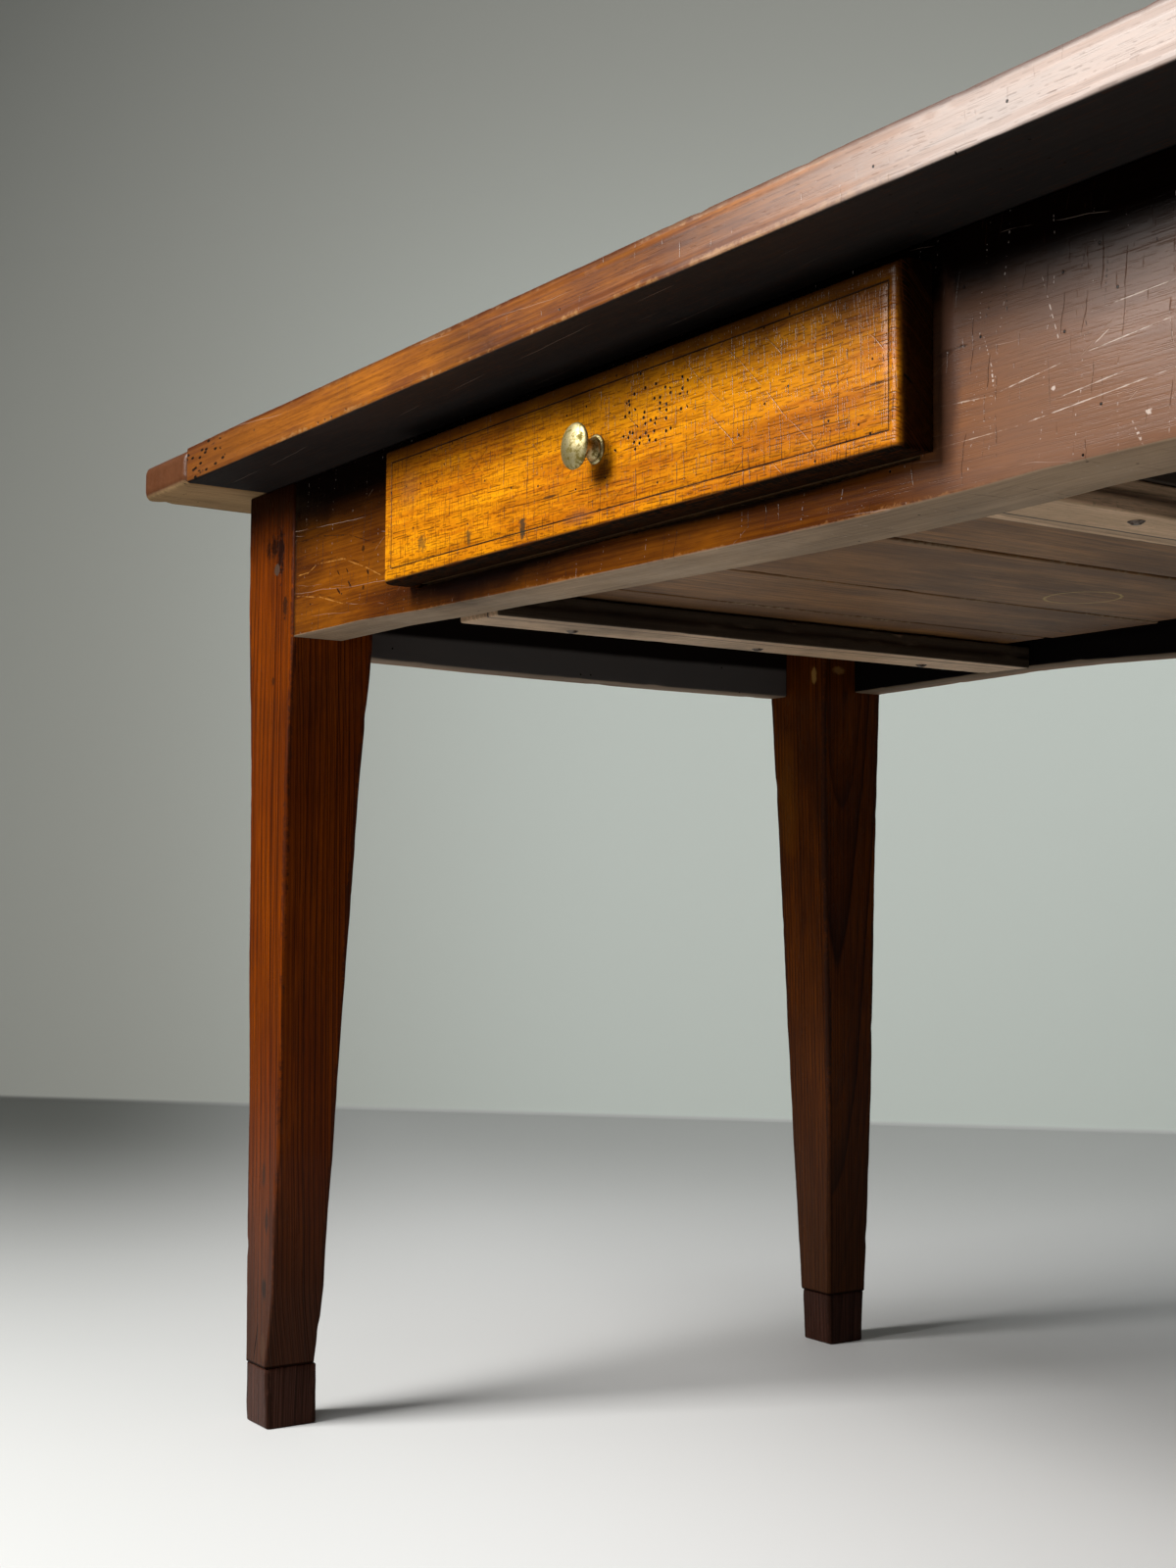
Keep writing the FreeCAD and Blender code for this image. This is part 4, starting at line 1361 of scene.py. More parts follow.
SILK = Strokes(0.0, 0.9 * MM, 0.34 * MM, 22 * MM, 0.48, (0.02, 0.008, 0.004), 0.18,
               bend=2 * MM, depth=0.2, seed=13.0)
PORES = Strokes(0.0, 1.3 * MM, 0.25 * MM, 14 * MM, 0.50, (0.02, 0.010, 0.006), 0.6,
                bend=1 * MM, depth=0.4, seed=10.0)

# The second fade darkens the top of each leg as painted shade under the top's overhang.
LEG_WOOD = WoodFinish(
    "leg wood", light=(0.265, 0.052, 0.001), dark=(0.15, 0.024, 0.001), line=(0.028, 0.005, 0.001),
    grain=Along.Z, spacing=4.2 * MM, wander=26 * MM, ring_share=0.95, fibre_share=0.35, fleck_share=0.12,
    cloud_share=0.5, grime=(0.02, 0.007, 0.004), grime_share=0.4, worn=(0.022, 0.010, 0.006), wear=0.55,
    strokes=(replace(PORES, strength=0.35), GRAIN_LINES), rough=0.28, shine=0.09, relief=0.5,
    fades=((2, 0.26, 0.03, (0.050, 0.026, 0.018), 0.82), (2, 0.672, 0.728, (0.010, 0.0025, 0.001), 0.95),
           (2, 0.0485, 0.047, BLACK, 0.9)))

# The rear legs: a darker copy of the leg wood, painted shade for legs that stand in the table's shadow.
SHADED_REAR_LEG_WOOD = replace(
    LEG_WOOD, light=(0.19, 0.045, 0.002), dark=(0.085, 0.018, 0.001), line=(0.010, 0.002, 0.001), shine=0.10,
    fades=((2, 0.26, 0.03, (0.080, 0.032, 0.014), 0.7), *LEG_WOOD.fades[1:]))

NEAR_LEG_MARKS = (
    Mark((-0.486, FACE, 0.690), (0.008, 0.02, 0.013), (0.014, 0.004, 0.002), 0.9, 0.7, 2.2, sunk=1.0,
         grit=240.0),
    Mark((-0.474, FACE, 0.684), (0.007, 0.02, 0.024), (0.012, 0.004, 0.003), 0.92, 0.5, 2.0, sunk=1.6,
         grit=240.0),
    Mark((-0.497, FACE, 0.689), (0.005, 0.02, 0.010), (0.018, 0.005, 0.002), 0.85, 0.7, 2.4, sunk=0.8,
         grit=300.0),
    Mark((-0.466, FACE, 0.640), (0.005, 0.02, 0.013), (0.02, 0.008, 0.004), 0.8, 0.6, 2.0, sunk=1.0,
         grit=240.0),
    Mark((-0.4855, FACE, 0.583), (0.0035, 0.02, 0.005), (0.03, 0.010, 0.004), 0.75, 0.6, 0.8),
    Mark((-0.4975, FACE, 0.064), (0.0009, 0.012, 0.019), BLACK, 0.95, 0.5, 0.25, sunk=2.5, tilt=-0.24),
    Mark((-0.485, FACE, 0.062), (0.006, 0.012, 0.013), (0.10, 0.045, 0.022), 0.5, 0.5, 0.6),
    Mark((-0.484, FACE, 0.108), (0.005, 0.02, 0.012), (0.02, 0.014, 0.011), 0.8, 0.6, 1.0),
    Mark((-0.481, FACE, 0.160), (0.004, 0.02, 0.014), (0.02, 0.014, 0.011), 0.7, 0.6, 1.0),
    Mark((-0.488, FACE, 0.195), (0.004, 0.02, 0.012), (0.03, 0.018, 0.012), 0.6, 0.6, 1.0))

FAR_LEG_MARKS = (
    Mark((-0.466, -FACE - 71 * MM, 0.623), (0.005, 0.006, 0.009), (0.42, 0.22, 0.06), 0.8, 0.5, 1.0,
         sunk=1.0),
    Mark((-0.4535, 0.254, 0.628), (0.006, 0.009, 0.005), (0.36, 0.17, 0.05), 0.7, 0.5, 1.0, sunk=1.0),
    Mark((-0.510, -FACE - 67 * MM, 0.51), (0.022, 0.016, 0.085), (0.20, 0.070, 0.004), 0.35, 0.95, 0.9,
         grit=60.0))

# Pale scratch colours, partly the scratched finish and partly painted highlight; the ridge colour is for pale
# grain lines, partly grain colour and partly painted highlight.
PALE = (0.72, 0.58, 0.50)
CREAM = (0.62, 0.46, 0.36)
RIDGE_HIGHLIGHT = (0.46, 0.20, 0.04)
# Painted shadow: black just under the drawer lip, and a dark patch on the strip below its left half.
LIP_SHADOW_MARKS = (
    Mark((-0.130, FACE, 0.6290), (0.160, 0.03, 0.0070), BLACK, 0.95, 0.6, 0.2),
    Mark((0.110, FACE, 0.6290), (0.170, 0.03, 0.0060), BLACK, 0.95, 0.6, 0.2),
    Mark((-0.175, FACE, 0.625), (0.160, 0.03, 0.024), (0.008, 0.002, 0.001), 0.95, 0.8, 0.5, grit=40.0))
LEFT_APRON_MARKS = LIP_SHADOW_MARKS + (
    # Grain contours: pale lines with black lines beside them, partly the wood's grain and partly painted
    # highlight and painted shadow of a raised grain.
    straight_mark(FACE, (-0.4450, 0.6617), (-0.4240, 0.6620), 0.9 * MM, RIDGE_HIGHLIGHT, 0.9),
    straight_mark(FACE, (-0.4260, 0.6614), (-0.4100, 0.6665), 0.9 * MM, RIDGE_HIGHLIGHT, 0.9),
    straight_mark(FACE, (-0.4110, 0.6665), (-0.3657, 0.6646), 0.9 * MM, RIDGE_HIGHLIGHT, 0.9),
    straight_mark(FACE, (-0.3680, 0.6650), (-0.3272, 0.6524), 0.9 * MM, RIDGE_HIGHLIGHT, 0.9),
    straight_mark(FACE, (-0.3290, 0.6530), (-0.3028, 0.6431), 0.9 * MM, RIDGE_HIGHLIGHT, 0.9),
    straight_mark(FACE, (-0.4100, 0.6685), (-0.3657, 0.6665), 0.9 * MM, BLACK, 0.6),
    straight_mark(FACE, (-0.3680, 0.6668), (-0.3272, 0.6542), 0.9 * MM, BLACK, 0.6),
    straight_mark(FACE, (-0.4458, 0.6880), (-0.4066, 0.6876), 0.8 * MM, BLACK, 0.8),
    straight_mark(FACE, (-0.4080, 0.6878), (-0.3576, 0.6814), 0.8 * MM, BLACK, 0.8),
    straight_mark(FACE, (-0.3590, 0.6818), (-0.3034, 0.6656), 0.8 * MM, BLACK, 0.8),
    straight_mark(FACE, (-0.4443, 0.6458), (-0.4050, 0.6404), 0.8 * MM, RIDGE_HIGHLIGHT, 0.9),
    straight_mark(FACE, (-0.4060, 0.6408), (-0.3646, 0.6306), 0.8 * MM, RIDGE_HIGHLIGHT, 0.9),
    straight_mark(FACE, (-0.4050, 0.6424), (-0.3646, 0.6326), 0.8 * MM, BLACK, 0.6),
    Mark((-0.356, FACE, 0.6443), (0.005, 0.01, 0.0011), BLACK, 0.9, 0.5, 1.0, sunk=1.5, tilt=-0.8),
    Mark((-0.374, FACE, 0.6416), (0.005, 0.01, 0.0011), BLACK, 0.9, 0.5, 1.0, sunk=1.5, tilt=-0.7),
    Mark((-0.327, FACE, 0.6494), (0.003, 0.01, 0.0014), BLACK, 0.9, 0.5, 1.0, sunk=1.5, tilt=-0.9),
    Mark((-0.374, FACE, 0.655), (0.004, 0.01, 0.0010), (0.03, 0.010, 0.002), 0.9, 0.5, 0.8, tilt=-0.8),
    Mark((-0.360, FACE, 0.655), (0.003, 0.01, 0.0010), (0.03, 0.010, 0.002), 0.9, 0.5, 0.8, tilt=-0.9),
    Mark((-0.334, FACE, 0.639), (0.003, 0.01, 0.0022), (0.03, 0.010, 0.002), 0.8, 0.5, 1.0),
    Mark((-0.335, FACE, 0.668), (0.003, 0.01, 0.0028), (0.03, 0.010, 0.002), 0.8, 0.5, 1.0))
RIGHT_APRON_MARKS = LIP_SHADOW_MARKS + (
    straight_mark(FACE, (0.266, 0.6775), (0.288, 0.6783), 1.7 * MM, BLACK, 1.0),
    Mark((0.2705, FACE, 0.6770), (0.0050, 0.01, 0.0021), BLACK, 1.0, 0.4, 0.3, sunk=2.0),
    straight_mark(FACE, (0.3043, 0.7028), (0.2952, 0.6814), 0.7 * MM, BLACK, 0.9, 3.0 * MM),
    straight_mark(FACE, (0.2957, 0.6820), (0.3012, 0.6655), 0.7 * MM, PALE, 0.9, 2.2 * MM),
    straight_mark(FACE, (0.3010, 0.6680), (0.3032, 0.6510), 1.1 * MM, PALE, 1.0, 2.6 * MM),
    straight_mark(FACE, (0.3109, 0.7053), (0.3121, 0.6830), 0.6 * MM, BLACK, 0.9, 3.4 * MM),
    straight_mark(FACE, (0.3343, 0.6979), (0.3448, 0.6640), 0.6 * MM, PALE, 0.9, 5.0 * MM),
    straight_mark(FACE, (0.3610, 0.7081), (0.3556, 0.6898), 0.6 * MM, BLACK, 0.9, 3.0 * MM),
    straight_mark(FACE, (0.3556, 0.6898), (0.3623, 0.6618), 0.6 * MM, BLACK, 0.8, 4.0 * MM),
    straight_mark(FACE, (0.3734, 0.7034), (0.3709, 0.6762), 0.6 * MM, BLACK, 0.8, 3.0 * MM),
    straight_mark(FACE, (0.3977, 0.7060), (0.4039, 0.6882), 0.7 * MM, BLACK, 0.9, 3.0 * MM),
    straight_mark(FACE, (0.3371, 0.6662), (0.3386, 0.6287), 0.5 * MM, BLACK, 0.8),
    straight_mark(FACE, (0.3864, 0.6208), (0.3917, 0.6098), 1.3 * MM, PALE, 1.0, 2.6 * MM),
    Mark((0.3951, FACE, 0.6237), (0.0021, 0.01, 0.0016), PALE, 0.9, 0.5, 1.6, grit=700.0),
    Mark((0.3405, FACE, 0.6455), (0.0016, 0.01, 0.0012), PALE, 0.9, 0.5, 1.6, grit=700.0),
    straight_mark(FACE, (0.2669, 0.6518), (0.3017, 0.6499), 0.7 * MM, CREAM, 0.85),
    straight_mark(FACE, (0.2990, 0.6499), (0.3518, 0.6570), 0.6 * MM, PALE, 0.95),
    straight_mark(FACE, (0.3440, 0.6562), (0.4150, 0.6632), 0.6 * MM, PALE, 1.0),
    straight_mark(FACE, (0.2689, 0.6316), (0.3192, 0.6324), 0.5 * MM, CREAM, 0.7),
    straight_mark(FACE, (0.3150, 0.6322), (0.4102, 0.6402), 0.6 * MM, PALE, 0.9),
    straight_mark(FACE, (0.3624, 0.6756), (0.4150, 0.6787), 0.6 * MM, PALE, 0.9),
    straight_mark(FACE, (0.3387, 0.6400), (0.3834, 0.6448), 0.5 * MM, PALE, 0.9),
    straight_mark(FACE, (0.3640, 0.6601), (0.3764, 0.6669), 0.6 * MM, PALE, 0.95),
    # Painted sheen: a greyish patch just right of the drawer lip.
    Mark((0.2715, FACE, 0.665), (0.0120, 0.02, 0.060), (0.085, 0.040, 0.026), 0.8, 0.6, 0.4))

LIP_FACE = float(span("drawer_front")[0][1])
DRAWER_MARKS = (
    Mark((-0.081, LIP_FACE, 0.642), (0.0050, 0.01, 0.0095), (0.035, 0.032, 0.018), 0.85, 0.6, 1.9,
         grit=300.0),
    Mark((-0.147, LIP_FACE, 0.647), (0.0035, 0.01, 0.0080), (0.05, 0.040, 0.016), 0.75, 0.6, 2.0, grit=300.0),
    Mark((-0.209, LIP_FACE, 0.651), (0.0080, 0.01, 0.0070), (0.07, 0.045, 0.014), 0.65, 0.7, 2.4, grit=300.0),
    Mark((-0.051, LIP_FACE, 0.657), (0.0090, 0.01, 0.0012), (0.06, 0.025, 0.008), 0.8, 0.5, 0.8),
    Mark((-0.018, LIP_FACE, 0.640), (0.0200, 0.01, 0.0060), (0.20, 0.075, 0.035), 0.45, 0.8, 1.2),
    Mark((-0.228, LIP_FACE, 0.690), (0.0200, 0.01, 0.0180), (0.25, 0.100, 0.030), 0.35, 0.9, 1.0),
    # Painted shadow of the knob, partly grime round its stem.
    Mark((0.007, LIP_FACE, 0.663), (0.0130, 0.01, 0.0120), (0.05, 0.014, 0.001), 0.75, 0.9, 0.3),
    Mark((0.245, LIP_FACE, 0.665), (0.0070, 0.01, 0.0006), (0.05, 0.020, 0.006), 0.9, 0.5, 0.5, sunk=1.0),
    Mark((0.245, LIP_FACE, 0.640), (0.0060, 0.01, 0.0006), (0.05, 0.020, 0.006), 0.9, 0.5, 0.5, sunk=1.0))

# Apron fades: the right part greyer, partly its own browner colour and partly a painted sheen; the top band
# near black, partly dirt and partly painted shade under the top's overhang; black towards the leg over the
# last 7 mm.
APRON_WOOD = WoodFinish(
    "apron wood", light=(0.31, 0.092, 0.004), dark=(0.11, 0.026, 0.002), line=(0.024, 0.006, 0.002),
    pith=(-0.20, 0.66), spacing=11 * MM, wander=60 * MM, ring_share=0.35, fibre_share=0.4, fleck_share=0.2,
    cloud_share=0.6, grime_share=0.4, worn=(0.46, 0.18, 0.03), wear=0.45, ring_relief=0.2,
    strokes=(SILK, LONG_SCRATCHES, SCRATCHES, STEEP_SCRATCHES, OLD_CRACKS, BEADED,
             replace(HAIRLINES, strength=0.6, keep=0.60)),
    holes=0.25, rough=0.19, relief=0.32, under=(0.50, 0.36, 0.24), under_share=0.96,
    fades=((0, 0.20, 0.32, (0.26, 0.145, 0.098), 0.76), (2, 0.660, 0.710, (0.003, 0.001, 0.0004), 1.0),
           (0, -0.4440, -0.4510, BLACK, 0.9)))

# Drawer front: the fades and the under colour are painted shade, partly dirt at the top: darker along the top
# under the top's overhang, near black on the lip's right end, along its lowest edge and on faces that look
# down.
DRAWER_WOOD = WoodFinish(
    "drawer front wood", light=(0.97, 0.375, 0.004), dark=(0.56, 0.160, 0.002), line=(0.19, 0.045, 0.001),
    pith=(-0.55, 0.60), spacing=7 * MM, wander=50 * MM, ring_share=0.35, fibre_share=0.45, fleck_share=0.6,
    cloud_share=0.55, grime=(0.035, 0.014, 0.004), grime_share=0.15, worn=(0.14, 0.055, 0.012), wear=0.2,
    groove=1.0, strokes=(GRAIN_DASHES, HAIRLINES, FINE_CRACKLE, SLOPING, DROPPING),
    holes=0.45, cluster=((0.052, LIP_FACE, 0.686), (0.06, 0.02, 0.034)), rough=0.23, shine=0.22, relief=0.4,
    under=(0.004, 0.003, 0.002), under_share=0.98,
    fades=((2, 0.675, 0.7200, (0.030, 0.009, 0.001), 0.97), (0, 0.2570, 0.2615, (0.008, 0.003, 0.0015), 0.96),
           (2, 0.6335, 0.6312, BLACK, 0.8)),
    marks=DRAWER_MARKS)

# The first fade is a painted reflection: the front edge turns whitish towards the right, as a sheen of the
# window lamp would.
TOP_WOOD = WoodFinish(
    "top wood", light=(0.42, 0.135, 0.010), dark=(0.15, 0.038, 0.004), line=(0.05, 0.014, 0.003),
    pith=(-0.28, 0.70), spacing=8 * MM, wander=70 * MM, ring_share=0.5, fibre_share=0.5, fleck_share=0.25,
    cloud_share=0.6, grime_share=0.35, worn=(0.52, 0.25, 0.07), wear=0.30,
    strokes=(SILK, replace(GRAIN_DASHES, strength=0.4, keep=0.54), replace(LONG_SCRATCHES, strength=0.3),
             replace(HAIRLINES, strength=0.3, keep=0.60)),
    holes=0.3, cluster=((-0.475, -0.375, 0.751), (0.085, 0.02, 0.024)), hole_shape=(0.8, 2.1, 2.1),
    rough=0.33, shine=0.5, relief=0.35, under=(0.010, 0.009, 0.009), under_share=0.98,
    fades=((0, 0.08, 0.42, (0.70, 0.60, 0.55), 0.74), (0, -0.22, -0.50, (0.10, 0.034, 0.010), 0.6),
           (2, 0.7605, 0.7640, (0.06, 0.012, 0.005), 0.75)))

BOTTOM_MARKS = {
    3: (Mark((-0.018, 0.107, 0.630), (0.027, 0.027, 0.02), (0.62, 0.46, 0.14), 0.55, 0.07, 0.15,
             MarkKind.OUTLINE),),
    4: (Mark((0.062, 0.090, 0.630), (0.016, 0.020, 0.02), (0.62, 0.46, 0.14), 0.5, 0.10, 0.5,
             MarkKind.OUTLINE),)}

INNER_WOOD = WoodFinish(
    "bare inner wood", light=(0.38, 0.215, 0.090), dark=(0.19, 0.105, 0.042), line=(0.07, 0.038, 0.016),
    spacing=6 * MM, wander=60 * MM, ring_share=0.45, fibre_share=0.5, fleck_share=0.2, cloud_share=0.6,
    grime=(0.03, 0.019, 0.013), grime_share=0.5, worn=(0.36, 0.26, 0.16), wear=0.25,
    strokes=(PORES,), rough=0.6, relief=0.6)


@dataclass
class Top:
    """The four boards of the top, the two breadboard ends and their pegs."""

    shop: Workshop
    boards: int = 4
    seed: int = 20
    seam: float = 1.1 * MM
    hollow: float = 0.3 * MM
    board_arris: float = 2.6 * MM
    board_step: float = 4 * MM
    board_chips: float = 0.25 * MM
    seam_share: float = 0.5
    front_share: float = 0.9
    rear_share: float = 1.6
    pith_step: float = 0.13
    pith_height: float = 0.69
    cleat_seed: int = 31
    cleat_arris: float = 4.0 * MM
    cleat_corner: float = 7.0 * MM

    def build(self) -> int:
        """Build and finish the top.

        Returns:
            The number of pieces made.
        """
        for index in range(1, self.boards + 1):
            self._board(index)
        for side in ("left", "right"):
            self._end(side)
        pegs = self.shop.wood(replace(INNER_WOOD, title="peg wood", light=(0.10, 0.045, 0.02),
                                      dark=(0.05, 0.02, 0.01), grain=Along.Z))
        for node in ("top_pegs", "breadboard_pegs"):
            dress_node(node, pegs)
        return self.boards + 2

    def _board(self, index: int) -> None:
        """One board. Its box in the frame includes its tongues, which stay hidden.

        Args:
            index: Its number, from the front.
        """
        node = f"top_board_{index}"
        low, high = span(node)
        cleat_low, _ = span("breadboard_end_right")
        reach = float(cleat_low[0])
        low[0], high[0] = self.seam - reach, reach - self.seam
        if index < self.boards:
            high[1] = span(f"top_board_{index + 1}")[0][1]
        corners = [self.seam_share] * 4
        if index == 1:
            corners[2] = self.front_share
        if index == self.boards:
            corners[0] = self.rear_share
        piece = Timber(f"board_{index}", low, high, Along.X, round_over=self.board_arris,
                       seed=self.seed + index, corner_scale=tuple(corners), hollow=self.hollow,
                       step=self.board_step, chips=self.board_chips).build()
        finish = replace(TOP_WOOD, title=f"top wood {index}",
                         pith=(TOP_WOOD.pith[0] + self.pith_step * index, self.pith_height))
        stand_in(piece, self.shop.wood(finish), "table", "top_wood", node)

    def _end(self, side: str) -> None:
        """One breadboard end, with its outer corners rounded in plan.

        Args:
            side: Left or right.
        """
        node = f"breadboard_end_{side}"
        low, high = span(node)
        piece = Timber(f"cleat_{side}", low, high, Along.Y, round_over=self.cleat_arris,
                       end_round=self.cleat_corner, seed=self.cleat_seed, hollow=self.hollow).build()
        finish = replace(TOP_WOOD, title="breadboard wood", grain=Along.Y, pith=(0.66, 0.50),
                         light=(0.18, 0.075, 0.040), dark=(0.075, 0.028, 0.016), under=(0.46, 0.29, 0.14))
        stand_in(piece, self.shop.wood(finish), "table", "top_wood", node)


@dataclass(frozen=True)
class LegShape:
    """How far a leg's end faces lie inside its box, in millimetres by height in metres."""

    outer: tuple[tuple[float, float], ...]
    inner: tuple[tuple[float, float], ...]
    back: tuple[tuple[float, float], ...] = ((0.0, 28.0), (0.606, 0.0))
    foot_outer: tuple[tuple[float, float], ...] = ((0.0, 2.0), (0.046, 1.5))
    foot_inner: tuple[tuple[float, float], ...] = ((0.0, 1.5), (0.046, 2.0))
    foot_front: tuple[tuple[float, float], ...] = ((0.0, 1.5), (0.046, 1.0))
    foot_back: tuple[tuple[float, float], ...] = ((0.0, 1.5), (0.046, 0.5))


PLAIN_LEG = LegShape(outer=((0.046, 16.5), (0.30, 12.5), (0.50, 9.5), (0.606, 0.5)),
                     inner=((0.046, 26.3), (0.25, 15.0), (0.50, 8.0), (0.606, 0.3)))
NEAR_LEG = LegShape(
    outer=((0.046, 18.5), (0.16, 16.8), (0.21, 16.0), (0.26, 15.5), (0.31, 13.9), (0.35, 12.1),
           (0.44, 10.5), (0.515, 9.2), (0.54, 7.4), (0.61, 2.1), (0.64, 0.6), (0.737, 0.0)),
    inner=((0.046, 29.0), (0.085, 21.0), (0.107, 17.5), (0.155, 16.8), (0.21, 12.6), (0.35, 10.3),
           (0.45, 8.7), (0.50, 8.0), (0.555, 5.4), (0.612, 0.2)),
    back=((0.0, 29.0), (0.2, 22.6), (0.33, 16.0), (0.42, 10.3), (0.606, 0.0)),
    foot_outer=((0.0, 3.2), (0.014, 2.0), (0.046, 4.0)), foot_inner=((0.0, 2.7), (0.046, 4.8)),
    foot_front=((0.0, 2.0), (0.046, 1.0)), foot_back=((0.0, 1.0), (0.046, 0.5)))
FAR_LEG = LegShape(
    outer=((0.046, 19.5), (0.30, 12.5), (0.50, 8.5), (0.606, 5.2), (0.737, 4.8)),
    inner=((0.046, 22.5), (0.25, 12.5), (0.50, 6.0), (0.606, 1.0), (0.737, 0.8)),
    foot_outer=((0.0, 7.0), (0.046, 5.5)), foot_inner=((0.0, 0.0), (0.046, 0.2)),
    foot_front=((0.0, 2.5), (0.046, 0.5)), foot_back=((0.0, 3.5), (0.046, 2.0)))


@dataclass
class Leg:
    """One tapered leg and the block spliced under it."""

    shop: Workshop
    row: str
    side: str
    seed: int
    shape: LegShape = PLAIN_LEG
    marks: tuple[Mark, ...] = ()
    arris: float = 2.6 * MM
    hollow: float = 0.3 * MM
    step: float = 4 * MM
    chips: float = 0.35 * MM
    foot_arris: float = 2.4 * MM
    foot_end_round: float = 1.4 * MM
    pith_aside: float = 0.105
    front_pith_off: float = 0.12
    rear_pith_off: float = 0.01
    foot_pith_shift: float = 0.03

    def build(self) -> int:
        """Build and finish both pieces of the leg.

        Returns:
            The number of pieces made.
        """
        leg, foot = f"leg_{self.row}_{self.side}", f"foot_{self.row}_{self.side}"
        low, high = span(leg)
        foot_low, foot_high = span(foot)
        left, front = self.side == "left", self.row == "front"
        sign_x, sign_y = (1 if left else -1), (1 if front else -1)
        off = self.front_pith_off if front else self.rear_pith_off
        pith = (self.pith_aside * sign_x + float(low[0] + high[0]) / 2,
                float(low[1] + high[1]) / 2 + off * sign_y)
        finish = replace(LEG_WOOD if front else SHADED_REAR_LEG_WOOD, title=f"leg wood {self.row} {self.side}",
                         pith=pith, marks=self.marks)
        post = Timber(f"post_{self.row}_{self.side}", low, high, Along.Z, round_over=self.arris,
                      seed=self.seed, hollow=self.hollow, step=self.step, chips=self.chips,
                      insets=(Inset(Along.X, not left, self.shape.outer),
                              Inset(Along.X, left, self.shape.inner),
                              Inset(Along.Y, front, self.shape.back)))
        stand_in(post.build(), self.shop.wood(finish), "table", "leg_wood", leg)
        block = Timber(f"splice_{self.row}_{self.side}", foot_low, foot_high, Along.Z,
                       round_over=self.foot_arris, seed=self.seed + 3, end_round=self.foot_end_round,
                       step=self.step,
                       insets=(Inset(Along.X, not left, self.shape.foot_outer),
                               Inset(Along.X, left, self.shape.foot_inner),
                               Inset(Along.Y, not front, self.shape.foot_front),
                               Inset(Along.Y, front, self.shape.foot_back)))
        dark = replace(finish, title=f"foot wood {self.row} {self.side}", light=(0.105, 0.042, 0.028),
                       dark=(0.058, 0.022, 0.015), line=(0.018, 0.007, 0.004), fades=(), marks=(),
                       shine=0.04, pith=(finish.pith[0] + self.foot_pith_shift, finish.pith[1]))
        stand_in(block.build(), self.shop.wood(dark), "table", "leg_wood", foot)
        return 2


# How the aprons' lower edges bow, how the front one thins and how the left one slants, in millimetres

FRONT_BOW = ((-0.433, 8.9), (-0.336, 8.5), (-0.291, 7.1), (-0.248, 5.6), (-0.168, 4.2), (-0.096, 3.0),
             (0.0, 1.8), (0.06, 1.2), (0.138, 0.4), (0.20, 0.0), (0.292, 1.2), (0.331, 2.7), (0.43, 3.0))
FRONT_THINNER = ((-0.43, 9.0), (-0.325, 10.0), (-0.179, 11.0), (-0.06, 6.0), (0.05, 2.0), (0.15, 1.0),
                 (0.24, 0.0))
REAR_BOW = ((-0.45, 2.0), (-0.314, 4.5), (-0.227, 6.0), (-0.174, 5.5), (-0.073, 2.1), (0.0, 0.5))
END_BOW = ((-0.236, 4.6), (-0.10, 1.9), (0.0, 0.8), (0.10, 0.0))
LEFT_SLANT = ((-0.236, 0.0), (0.236, 3.6))


